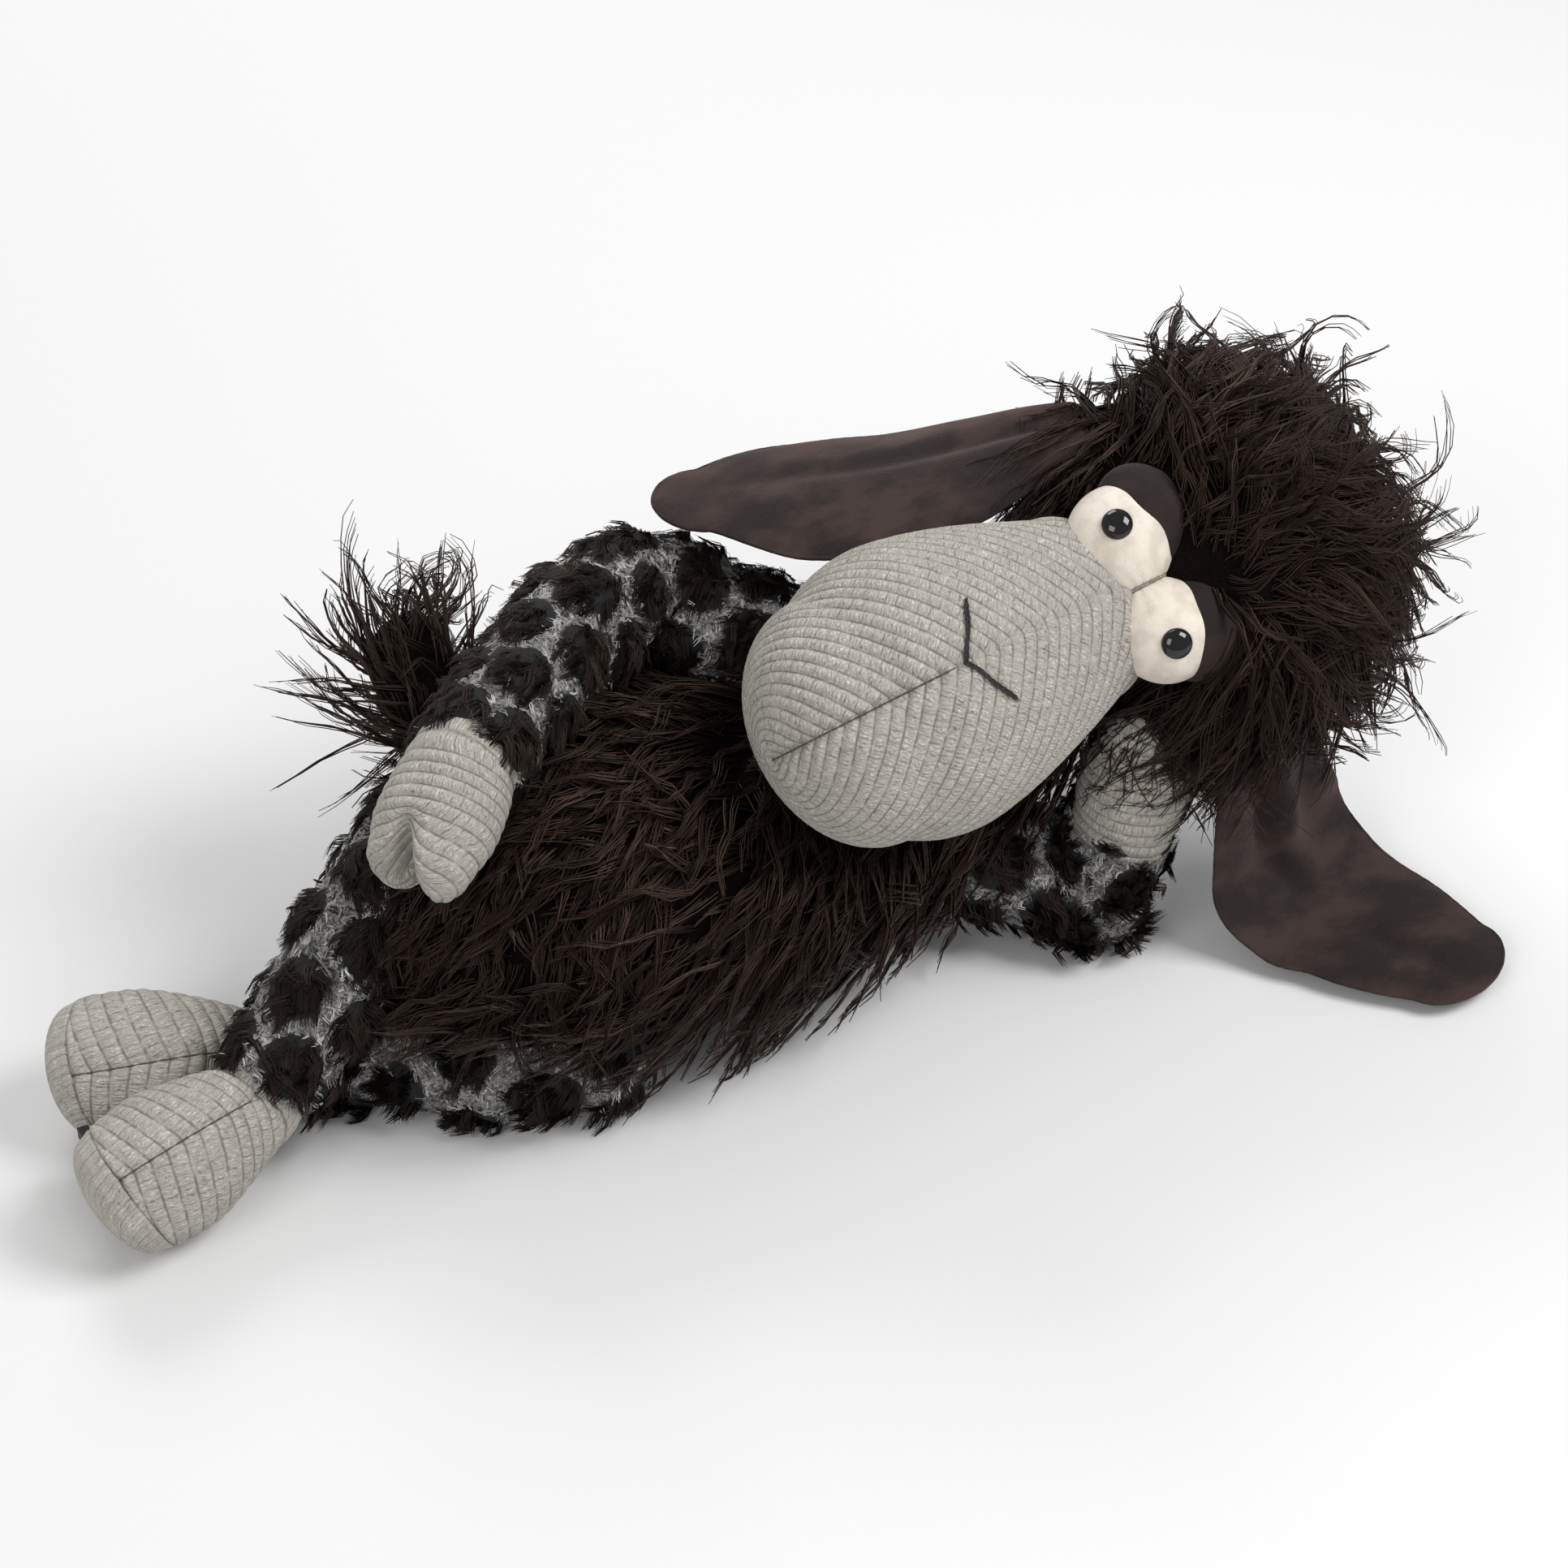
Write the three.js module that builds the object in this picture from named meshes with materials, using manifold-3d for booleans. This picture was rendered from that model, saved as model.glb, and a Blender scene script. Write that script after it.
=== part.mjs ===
// A plush sheep that lies on its left side with its head propped on its left forefoot.
// Millimetres. +X runs from the feet to the crown, -Y is the belly side and +Z is up.
// The origin is on the floor, under the middle of the torso.
import * as THREE from "three";
import * as BufferGeometryUtils from "three/addons/utils/BufferGeometryUtils.js";
import Module from "manifold-3d";

const wasm = await Module();
wasm.setup();

// Clearances and cloth
const seamGap = 0.35; // between pieces that touch
const seamRun = 5; // how far a hoof or foot runs straight out of its sleeve before it turns
const floorPress = 0.5; // how deep the floor flattens a form that lies on it
const floorDepth = 40; // depth of the block that cuts a form flat
const furWall = 3.2; // shaggy cloth with the root of its pile
const plushWall = 2.2; // cloth of the sleeves
const knitWall = 2; // rib knit of the muzzle and hooves

// Facets
const bodySides = 16;
const limbSides = 10;
const smallSides = 8;
const ballSides = 12;
const capSteps = 3;
const coreSidesShare = 0.67; // facets round a core, as a part of those round its skin
const roomMargin = 2; // a plain cutter lies this far outside the piece it clears
const coreMargin = 1.1; // a plain core lies this far inside its skin, beyond the seam gap

// Torso, from the seat to the neck seam
const torso = {
  length: 192,
  width: 112,
  height: 104,
  seatRound: 27,
  neckRound: 22,
  neckRise: 58,
};
const torsoShares = [
  { along: 0, width: 0.74, height: 0.8, rise: 0 },
  { along: 0.15, width: 1, height: 1, rise: 0 },
  { along: 0.36, width: 0.98, height: 0.98, rise: 0 },
  { along: 0.57, width: 0.82, height: 0.86, rise: 0 },
  { along: 0.72, width: 0.62, height: 0.69, rise: 0.17 },
  { along: 0.87, width: 0.44, height: 0.5, rise: 0.6 },
  { along: 1, width: 0.4, height: 0.43, rise: 1 },
];
const torsoSeatShare = 0.385; // part of the length that lies behind the origin

// Head, in its own frame: +X the crown, -Y the face, +Z the sheep's right
const head = {
  length: 88,
  depth: 88,
  width: 100,
  neckSeat: 9, // how deep the neck sits in the head
  yaw: -7,
  pitch: 20,
  roll: 43,
};
const neckTurn = 20; // how far the head nods back

const muzzle = {
  length: 110,
  width: 86,
  depth: 70,
  rootRound: 20, // reaches back into the face, which cuts it open
  tipRound: 28,
  forward: 32, // from the middle of the head towards the face
  below: 47, // from the middle of the head towards the chin
  side: 3, // from the middle of the head towards the right ear
  droop: 26,
};
const muzzleShares = [
  { along: 0, width: 0.66, depth: 0.56 },
  { along: 0.28, width: 0.84, depth: 0.8 },
  { along: 0.55, width: 0.97, depth: 0.97 },
  { along: 0.8, width: 1, depth: 1 },
  { along: 1, width: 0.86, depth: 0.84 },
];
const noseThread = 2.6;
const noseShares = { start: 0.545, point: 0.685, spread: 22 };

const eye = {
  padLength: 31,
  padWidth: 30,
  padDepth: 25,
  below: 26,
  forward: 37,
  lidLength: 29,
  lidWidth: 34,
  lidDepth: 27,
  lidBelow: 17,
  lidForward: 33,
  pupil: 9,
  pupilHeight: 2.8,
  pupilSpread: 19,
  pupilSink: 0.6, // how deep the pupil's rim presses into the pad
  stem: 2.6,
  stemLength: 9,
  washer: 9.5,
  washerThickness: 1.4,
  washerShare: 0.62, // place of the washer along the stem
};

const ear = {
  length: 130,
  width: 62,
  thickness: 8,
  tipRound: 15,
  below: 19, // root, from the middle of the head towards the chin
  forward: 10,
};
const earShares = [
  { along: 0, width: 0.42, thickness: 1 },
  { along: 0.3, width: 0.84, thickness: 0.95 },
  { along: 0.58, width: 1, thickness: 0.85 },
  { along: 0.84, width: 0.84, thickness: 0.7 },
  { along: 1, width: 0.5, thickness: 0.55 },
];
const rightEarLie = { seat: 46.2, yaw: 165, pitch: -8, lift: 4, sag: 6 };
const leftEarLie = { seat: 51.3, yaw: -66, fallShare: 0.6, lieShare: 0.5, leanYaw: 5, leanShare: 0.27 };
const rightEarTurn = 70;
const leftEarTurn = 40;

const topknot = { loft: 15, behind: 9, above: 2, brow: 7 }; // long fur that stands off the crown
const tail = { length: 32, rootWidth: 18, width: 27, round: 11, yaw: 90, pitch: 30 };
const tailPlace = { alongShare: 0.12, aroundDegrees: 40, sink: -1 };
const tailTurn = 30;

// Limbs
const arm = { width: 35, wrist: 31, hoof: 37, hoofDepth: 30, hoofLength: 34, hoofRound: 11 };
const cleft = { width: 5, length: 15 }; // between the two toes of a hoof
const rightArm = { upper: 74, fore: 85, upperYaw: 152, upperPitch: 24, foreYaw: 218.5, forePitch: -2 };
const rightArmPlace = { alongShare: 0.7, aroundDegrees: 56, sink: -9 };
const rightArmTurn = 55;
const elbowRoom = 2.9; // round the elbow, where the two stretches of the left arm fold
const leftArm = { upper: 43, fore: 25, upperYaw: -31, foreYaw: -14, forePitch: 72 };
const leftArmPlace = { alongShare: 0.71, aroundDegrees: -125, sink: 12 };
const leftArmTurn = 20;
const leftForearmTurn = 70;

const leg = { length: 82, width: 34, ankle: 27, foot: 43, footLength: 50, sole: 3, soleRound: 3 };
const rightLeg = { yaw: 209, pitch: -30, footYaw: 198, footPitch: -15 };
const rightLegPlace = { alongShare: 0.0, aroundDegrees: 64, sink: 9 };
const leftLeg = { yaw: 163, footYaw: 168 };
const leftLegPlace = { alongShare: 0.02, aroundDegrees: -122, sink: 9 };
const rightLegTurn = 25;
const leftLegTurn = 14;
const tab = { length: 7, width: 4, thickness: 0.8 }; // blank cloth tab in the sole seam

const pouch = { length: 84, width: 74, height: 40 };
const pouchAlongShare = 0.12;

const colours = {
  shaggy: 0x15110f,
  sleeve: 0x5d5652,
  knit: 0xb9b2a9,
  velour: 0x2d2321,
  eyeVelour: 0xf3eadb,
  gloss: 0x070606,
  thread: 0x17120f,
  stuffing: 0xe9e6df,
  cotton: 0xd8cfbd,
  washer: 0xe3e3e0,
};

const X = new THREE.Vector3(1, 0, 0);
const Y = new THREE.Vector3(0, 1, 0);
const Z = new THREE.Vector3(0, 0, 1);
const radians = THREE.MathUtils.degToRad;

/** Unit vector at a yaw from +X towards +Y and a pitch above the floor, both in degrees. */
function heading(yaw, pitch) {
  const flat = Math.cos(radians(pitch));
  return new THREE.Vector3(flat * Math.cos(radians(yaw)), flat * Math.sin(radians(yaw)), Math.sin(radians(pitch)));
}

/** The point that lies a distance from another along a direction. */
function beyond(point, direction, distance) {
  return point.clone().addScaledVector(direction, distance);
}

/** Joins rings of points into one closed skin. A ring of one point is a pole; without poles the ends join. */
function skin(rings) {
  const places = [];
  const faces = [];
  const first = rings.map((ring) => {
    const start = places.length / 3;
    ring.forEach((p) => places.push(p.x, p.y, p.z));
    return start;
  });
  const closed = rings[0].length > 1;
  const spans = closed ? rings.length : rings.length - 1;
  for (let i = 0; i < spans; i++) {
    const k = (i + 1) % rings.length;
    const count = Math.max(rings[i].length, rings[k].length);
    for (let j = 0; j < count; j++) {
      const next = (j + 1) % count;
      const here = rings[i].length > 1 ? [first[i] + j, first[i] + next] : [first[i]];
      const there = rings[k].length > 1 ? [first[k] + j, first[k] + next] : [first[k]];
      if (here.length > 1) faces.push(here[0], here[1], there[there.length - 1]);
      if (there.length > 1) faces.push(here[0], there[1], there[0]);
    }
  }
  const geometry = new THREE.BufferGeometry();
  geometry.setAttribute("position", new THREE.Float32BufferAttribute(places, 3));
  geometry.setIndex(faces);
  return geometry;
}

/** A stuffed form: oval sections that swell and taper along a smooth path, with rounded ends. */
class Form {
  constructor(stations, side, { sides, steps, startRound = 0, endRound = 0 }) {
    this.path = new THREE.CatmullRomCurve3(stations.map((s) => s.at), false, "centripetal");
    const halves = stations.map((s) => new THREE.Vector3(s.wide / 2, s.tall / 2, 0));
    this.halves = new THREE.CatmullRomCurve3(halves, false, "catmullrom", 0.5);
    Object.assign(this, { side, sides, steps, startRound, endRound });
  }

  /** The same form with some of its values changed. */
  variant(changes) {
    return Object.assign(Object.create(Form.prototype), this, changes);
  }

  /** A plainer form that lies wholly outside this one, to cut room for it. */
  room(grow) {
    return this.variant({ sides: smallSides, steps: Math.ceil(this.steps / 2) }).solid(grow + roomMargin);
  }

  /** A plainer form that lies wholly inside this one. */
  core(grow) {
    return this.variant({ sides: Math.round(this.sides * coreSidesShare) }).solid(grow - coreMargin);
  }

  /** Centre, axes and half sizes of the section at a share of the path. */
  section(share) {
    const centre = this.path.getPoint(share);
    const along = this.path.getTangent(share);
    const across = this.side.clone().addScaledVector(along, -this.side.dot(along)).normalize();
    const half = this.halves.getPoint(share);
    return { centre, along, across, up: along.clone().cross(across), wide: half.x, tall: half.y };
  }

  /** A point on the form, at a share of its path and an angle round it from the across axis. */
  surface(share, degrees, lift = 0) {
    const s = this.section(share);
    const wide = (s.wide + lift) * Math.cos(radians(degrees));
    const tall = (s.tall + lift) * Math.sin(radians(degrees));
    return beyond(beyond(s.centre, s.across, wide), s.up, tall);
  }

  /** One section as a ring, shrunk and shifted along the path for a rounded end. */
  ring(share, grow, shrink = 1, shift = 0, layer = 0) {
    const s = this.section(share);
    const centre = beyond(s.centre, s.along, shift);
    if (shrink < 1e-6) return [centre];
    return Array.from({ length: this.sides }, (_, j) => {
      const angle = (2 * Math.PI * j) / this.sides;
      const wide = (s.wide + grow) * shrink * Math.cos(angle);
      let tall = (s.tall + grow) * shrink * Math.sin(angle);
      if (layer) tall = layer * (Math.max(0, layer * tall) + seamGap / 2);
      return beyond(beyond(centre, s.across, wide), s.up, tall);
    });
  }

  /** The rings of a rounded end, from the full section to its pole. */
  end(share, round, grow, layer) {
    const sign = share > 0 ? 1 : -1;
    const reach = round > 0 ? round + grow : 0;
    const from = round > 0 ? 1 : capSteps;
    const rings = [];
    for (let k = from; k <= capSteps; k++) {
      const angle = (Math.PI / 2) * (k / capSteps);
      const shrink = k < capSteps ? Math.cos(angle) : 0;
      rings.push(this.ring(share, grow, shrink, sign * reach * Math.sin(angle), layer));
    }
    return rings;
  }

  rings(grow, layer = 0) {
    return Array.from({ length: this.steps + 1 }, (_, i) => this.ring(i / this.steps, grow, 1, 0, layer));
  }

  /** The whole form, grown or shrunk all round; a layer of 1 or -1 is its upper or lower half. */
  solid(grow = 0, layer = 0) {
    const start = this.end(0, this.startRound, grow, layer).reverse();
    return skin([...start, ...this.rings(grow, layer), ...this.end(1, this.endRound, grow, layer)]);
  }

  /** A wall round the form, open at its start, at its end or at both. */
  shell(wall, open) {
    const outer = this.rings(0);
    const inner = this.rings(-wall).reverse();
    if (open === "both") return skin([...outer, ...inner]);
    if (open === "start") {
      return skin([...this.end(1, this.endRound, -wall).reverse(), ...inner, ...outer, ...this.end(1, this.endRound, 0)]);
    }
    return skin([...this.end(0, this.startRound, 0).reverse(), ...outer, ...inner, ...this.end(0, this.startRound, -wall)]);
  }
}

/** A closed geometry as a solid that can be cut and joined. */
function toSolid(geometry) {
  const bare = geometry.clone();
  bare.deleteAttribute("normal");
  bare.deleteAttribute("uv");
  const merged = BufferGeometryUtils.mergeVertices(bare, 1e-4);
  const vertProperties = Float32Array.from(merged.attributes.position.array);
  const triVerts = Uint32Array.from(merged.index.array);
  return new wasm.Manifold(new wasm.Mesh({ numProp: 3, vertProperties, triVerts }));
}

/** The first geometry less all the others. */
function cut(geometry, ...tools) {
  const rest = tools.flat().reduce((solid, tool) => solid.subtract(toSolid(tool)), toSolid(geometry));
  return fromSolid(rest);
}

/** Two or more geometries as one. */
function join(...geometries) {
  return fromSolid(geometries.map(toSolid).reduce((a, b) => a.add(b)));
}

function fromSolid(solid) {
  const mesh = solid.getMesh();
  const geometry = new THREE.BufferGeometry();
  geometry.setAttribute("position", new THREE.Float32BufferAttribute(mesh.vertProperties, 3));
  geometry.setIndex(Array.from(mesh.triVerts));
  return geometry;
}

/** An oval ball, grown all round, at a place and turned by a quaternion. */
function ball(sizes, place, grow = 0, turn = new THREE.Quaternion(), columns = bodySides) {
  const geometry = new THREE.SphereGeometry(1, columns, Math.round(columns * 0.6));
  geometry.scale(sizes.x / 2 + grow, sizes.y / 2 + grow, sizes.z / 2 + grow);
  geometry.applyQuaternion(turn);
  geometry.translate(place.x, place.y, place.z);
  return geometry;
}

/** A geometry at rest and turned about a pivot, to cut room for its travel. */
function sweep(geometry, pivot, axis, degrees, count = 2) {
  return Array.from({ length: count }, (_, i) => {
    const angle = radians((degrees * i) / (count - 1));
    const turned = geometry.clone();
    turned.translate(-pivot.x, -pivot.y, -pivot.z);
    turned.applyQuaternion(new THREE.Quaternion().setFromAxisAngle(axis, angle));
    turned.translate(pivot.x, pivot.y, pivot.z);
    return turned;
  });
}

/** The block under the floor, under a whole form. */
function floorUnder(geometry) {
  geometry.computeBoundingBox();
  const size = geometry.boundingBox.getSize(new THREE.Vector3());
  const middle = geometry.boundingBox.getCenter(new THREE.Vector3());
  const block = new THREE.BoxGeometry(size.x * 2, size.y * 2, floorDepth);
  block.translate(middle.x, middle.y, -floorDepth / 2);
  return block;
}

const sheep = new THREE.Group();

function add(name, geometry, colour, roughness = 0.95) {
  const material = new THREE.MeshStandardMaterial({ color: colour, roughness, metalness: 0 });
  const mesh = new THREE.Mesh(geometry, material);
  mesh.name = name;
  sheep.add(mesh);
}

// The torso's own form comes first, because the limbs take their places on it.
const torsoStart = -torso.length * torsoSeatShare;
const torsoForm = new Form(
  torsoShares.map((s) => {
    const tall = torso.height * s.height;
    const z = tall / 2 - floorPress + torso.neckRise * s.rise;
    return {
      at: new THREE.Vector3(torsoStart + torso.length * s.along, 0, z),
      wide: torso.width * s.width,
      tall,
    };
  }),
  Y,
  { sides: bodySides, steps: 11, startRound: torso.seatRound, endRound: torso.neckRound },
);

/** A place on the torso at a share of its length and an angle from the back, sunk below its surface. */
function onTorso({ alongShare, aroundDegrees, sink }) {
  return torsoForm.surface(alongShare, aroundDegrees, -sink);
}

const neckPivot = torsoForm.section(1).centre;

// Head
const headTurn = new THREE.Quaternion().setFromEuler(
  new THREE.Euler(radians(-head.roll), radians(-head.pitch), radians(head.yaw), "ZYX"),
);
const headCentre = beyond(
  neckPivot,
  heading(head.yaw, head.pitch + 13),
  head.length / 2 + torso.neckRound - head.neckSeat,
);
const crown = X.clone().applyQuaternion(headTurn);
const rearward = Y.clone().applyQuaternion(headTurn);
const rightward = Z.clone().applyQuaternion(headTurn);

/** A place in the head's own frame, moved to the sheep's frame. */
function onHead(x, y, z) {
  return new THREE.Vector3(x, y, z).applyQuaternion(headTurn).add(headCentre);
}

const headSizes = new THREE.Vector3(head.length, head.depth, head.width);
const headBall = (grow) => ball(headSizes, headCentre, grow, headTurn);
const neckRoom = sweep(torsoForm.room(seamGap), neckPivot, Z, -neckTurn);

// Muzzle, set against the head's face and hanging down towards the chin
const muzzleRoot = onHead(-muzzle.below, -muzzle.forward, muzzle.side);
const muzzleAlong = new THREE.Vector3(-Math.cos(radians(muzzle.droop)), -Math.sin(radians(muzzle.droop)), 0)
  .applyQuaternion(headTurn);
const muzzleForm = new Form(
  muzzleShares.map((s) => ({
    at: beyond(muzzleRoot, muzzleAlong, (muzzle.length - muzzle.tipRound) * s.along),
    wide: muzzle.width * s.width,
    tall: muzzle.depth * s.depth,
  })),
  rightward,
  { sides: bodySides, steps: 7, startRound: muzzle.rootRound, endRound: muzzle.tipRound },
);

// Right arm: along the upper side, its hoof on the hip. It turns about its upper stretch.
const rightShoulder = onTorso(rightArmPlace);
const rightElbow = beyond(rightShoulder, heading(rightArm.upperYaw, rightArm.upperPitch), rightArm.upper);
const rightWrist = beyond(rightElbow, heading(rightArm.foreYaw, rightArm.forePitch), rightArm.fore);
const rightArmAxis = rightElbow.clone().sub(rightShoulder).normalize();

/** Evenly spaced stations between two places, with the section changing evenly too. */
function stretch(from, to, wideFrom, wideTo, count, tallFrom = wideFrom, tallTo = wideTo) {
  return Array.from({ length: count }, (_, i) => {
    const t = i / (count - 1);
    return {
      at: from.clone().lerp(to, t),
      wide: THREE.MathUtils.lerp(wideFrom, wideTo, t),
      tall: THREE.MathUtils.lerp(tallFrom, tallTo, t),
    };
  });
}

const rightSleeveForm = new Form(
  [
    { at: rightShoulder, wide: arm.width, tall: arm.width },
    { at: rightShoulder.clone().lerp(rightElbow, 0.55), wide: arm.width * 1.03, tall: arm.width },
    { at: rightElbow.clone().lerp(rightShoulder, 0.1), wide: arm.width * 1.04, tall: arm.width },
    { at: rightElbow.clone().lerp(rightWrist, 0.22), wide: arm.width, tall: arm.width },
    { at: rightElbow.clone().lerp(rightWrist, 0.6), wide: arm.width * 0.96, tall: arm.width * 0.95 },
    { at: rightWrist, wide: arm.wrist, tall: arm.wrist },
  ],
  Z,
  { sides: limbSides, steps: 11, startRound: arm.width / 2 },
);

/** A cloven hoof of knit beyond a sleeve's end, with its core and the gap between its toes. */
function hoof(sleeve, direction, side) {
  const wrist = sleeve.section(1);
  const start = beyond(wrist.centre, wrist.along, seamGap);
  const bend = beyond(start, wrist.along, seamRun);
  const end = beyond(start, direction, arm.hoofLength);
  const form = new Form(
    [
      { at: start, wide: arm.wrist, tall: arm.wrist },
      { at: bend, wide: arm.wrist, tall: arm.wrist },
      { at: bend.clone().lerp(end, 0.3), wide: arm.hoof * 0.96, tall: arm.hoofDepth },
      { at: bend.clone().lerp(end, 0.7), wide: arm.hoof, tall: arm.hoofDepth * 0.98 },
      { at: end, wide: arm.hoof * 0.9, tall: arm.hoofDepth * 0.8 },
    ],
    side,
    { sides: limbSides, steps: 5, startRound: arm.wrist / 4, endRound: arm.hoofRound },
  );
  const tip = form.section(1);
  const turn = new THREE.Quaternion().setFromRotationMatrix(
    new THREE.Matrix4().makeBasis(tip.along, tip.across, tip.up),
  );
  const sizes = new THREE.Vector3(2 * cleft.length, cleft.width, 2 * arm.hoofDepth);
  const place = beyond(tip.centre, tip.along, arm.hoofRound);
  const notch = (grow) => ball(sizes, place, grow, turn, smallSides);
  const hollow = cut(form.solid(-knitWall), notch(knitWall));
  return {
    cover: cut(form.variant({ startRound: 0 }).solid(), hollow, notch(0)),
    core: cut(form.core(-knitWall - seamGap), notch(knitWall + seamGap)),
    form,
  };
}

const rightHoofHeading = heading(rightArm.foreYaw + 5, rightArm.forePitch - 15);
const rightHoof = hoof(rightSleeveForm, rightHoofHeading, Y.clone().cross(rightHoofHeading).cross(rightHoofHeading));

// Left arm: forward along the floor, then straight up under the cheek
const leftShoulder = onTorso(leftArmPlace);
const leftElbowFlat = beyond(leftShoulder, heading(leftArm.upperYaw, 0), leftArm.upper);
const leftElbow = new THREE.Vector3(leftElbowFlat.x, leftElbowFlat.y, arm.width / 2 - floorPress);
const leftWrist = beyond(leftElbow, heading(leftArm.foreYaw, leftArm.forePitch), leftArm.fore);
const elbowBall = (grow) =>
  ball(new THREE.Vector3(arm.width, arm.width, arm.width), leftElbow, grow, undefined, ballSides);
const leftUpperForm = new Form(
  stretch(leftShoulder, leftElbow, arm.width, arm.width, 4),
  Z,
  { sides: limbSides, steps: 6, startRound: arm.width / 2 },
);
const leftForeForm = new Form(
  stretch(leftElbow, leftWrist, arm.width, arm.wrist, 3),
  X,
  { sides: limbSides, steps: 4, startRound: arm.width / 2 },
);
const leftHoof = hoof(leftForeForm, heading(leftArm.foreYaw, leftArm.forePitch + 4), X);

// Legs: the right one crosses over the left one above the ankles
const rightHip = onTorso(rightLegPlace);
const rightAnkle = beyond(rightHip, heading(rightLeg.yaw, rightLeg.pitch), leg.length);
const leftHip = onTorso(leftLegPlace);
const leftAnkleFlat = beyond(leftHip, heading(leftLeg.yaw, 0), leg.length);
const leftAnkle = new THREE.Vector3(leftAnkleFlat.x, leftAnkleFlat.y, leg.width / 2 - floorPress);

/** Sleeve form of a leg from hip to ankle. */
function legForm(hip, ankle) {
  return new Form(
    [
      { at: hip, wide: leg.width, tall: leg.width },
      { at: hip.clone().lerp(ankle, 0.35), wide: leg.width, tall: leg.width },
      { at: hip.clone().lerp(ankle, 0.72), wide: leg.width * 0.9, tall: leg.width * 0.9 },
      { at: ankle, wide: leg.ankle, tall: leg.ankle },
    ],
    Z,
    { sides: limbSides, steps: 5, startRound: leg.width / 2 },
  );
}

/** Form of a foot that flares from a sleeve's end to its sole, which stands just clear of the floor. */
function footForm(sleeve, yaw, pitch) {
  const ankle = sleeve.section(1);
  const direction = heading(yaw, pitch);
  const start = beyond(ankle.centre, ankle.along, seamGap);
  const bend = beyond(start, ankle.along, seamRun);
  const end = beyond(start, direction, leg.footLength - leg.sole);
  end.z = leg.foot / 2 - floorPress;
  return new Form(
    [
      { at: start, wide: leg.ankle, tall: leg.ankle },
      { at: bend, wide: leg.ankle, tall: leg.ankle },
      { at: bend.clone().lerp(end, 0.3), wide: leg.foot * 0.82, tall: leg.foot * 0.82 },
      { at: bend.clone().lerp(end, 0.65), wide: leg.foot, tall: leg.foot * 0.98 },
      { at: end, wide: leg.foot * 0.98, tall: leg.foot },
    ],
    Y,
    { sides: ballSides, steps: 5, startRound: leg.ankle / 4, endRound: leg.soleRound },
  );
}

const rightLegForm = legForm(rightHip, rightAnkle);
const leftLegForm = legForm(leftHip, leftAnkle);
const rightFootForm = footForm(rightLegForm, rightLeg.footYaw, rightLeg.footPitch);
const leftFootForm = footForm(leftLegForm, leftLeg.footYaw, 0);

// Tail
const tailRoot = onTorso(tailPlace);
const tailHeading = heading(tail.yaw, tail.pitch);
const tailForm = new Form(
  [
    { at: tailRoot, wide: tail.rootWidth, tall: tail.rootWidth },
    { at: beyond(tailRoot, tailHeading, tail.length * 0.6), wide: tail.width, tall: tail.width * 0.8 },
    { at: beyond(tailRoot, tailHeading, tail.length), wide: tail.width * 0.8, tall: tail.width * 0.6 },
  ],
  X,
  { sides: smallSides, steps: 5, startRound: tail.rootWidth / 2, endRound: tail.round },
);
const tailAxis = new THREE.Vector3(Math.sin(radians(tail.yaw)), -Math.cos(radians(tail.yaw)), 0);

/** Room in the torso for every limb, through its whole travel. */
function limbRoom(grow) {
  return [
    rightSleeveForm.room(grow),
    rightHoof.form.room(grow),
    ...sweep(leftUpperForm.room(grow), leftShoulder, Z, -leftArmTurn),
    ...sweep(rightLegForm.solid(2 * grow), rightHip, Z, rightLegTurn, 3),
    ...sweep(leftLegForm.room(grow), leftHip, Z, -leftLegTurn),
    ...sweep(tailForm.solid(grow), tailRoot, tailAxis, tailTurn, 3),
  ];
}

/** Fur skin of the torso round its stuffing, with the bag of pellets that weights the seat. */
function addTorso() {
  const room = limbRoom(seamGap);
  const outer = torsoForm.solid();
  const floor = floorUnder(outer);
  add("torso_fur_skin", cut(outer, torsoForm.solid(-furWall), floor, room), colours.shaggy);
  const seat = torsoForm.section(pouchAlongShare).centre;
  const bagSizes = new THREE.Vector3(pouch.length, pouch.width, pouch.height);
  const bag = (grow) => ball(bagSizes, new THREE.Vector3(seat.x, 0, furWall + pouch.height / 2), grow, undefined, ballSides);
  const inside = torsoForm.core(-furWall - seamGap);
  add("torso_stuffing", cut(inside, bag(seamGap), room), colours.stuffing);
  const trimmed = fromSolid(toSolid(bag(0)).intersect(toSolid(inside)));
  add("seat_pellet_pouch", cut(trimmed, room), colours.cotton);
}

/** The tail, a short stuffed stub of fur cloth. */
function addTail() {
  add("tail_tuft", tailForm.solid(), colours.shaggy);
}

/** Head skin and stuffing, and the cap of long fur over its crown. */
function addHead() {
  const skinWall = cut(headBall(0), headBall(-furWall), neckRoom);
  add("head_fur_skin", skinWall, colours.shaggy);
  const inside = ball(headSizes, headCentre, -furWall - seamGap - coreMargin, headTurn, limbSides);
  add("head_stuffing", cut(inside, neckRoom), colours.stuffing);
  const mopSizes = headSizes.clone().addScalar(2 * topknot.loft);
  const mop = ball(mopSizes, onHead(topknot.above, topknot.behind, 0), 0, headTurn);
  const face = new THREE.BoxGeometry(mopSizes.x, 2 * mopSizes.y, 2 * mopSizes.z);
  face.translate(topknot.brow - mopSizes.x / 2, 0, 0);
  face.applyQuaternion(headTurn);
  face.translate(headCentre.x, headCentre.y, headCentre.z);
  add("topknot_tuft", cut(mop, headBall(seamGap), face), colours.shaggy);
}

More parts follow.
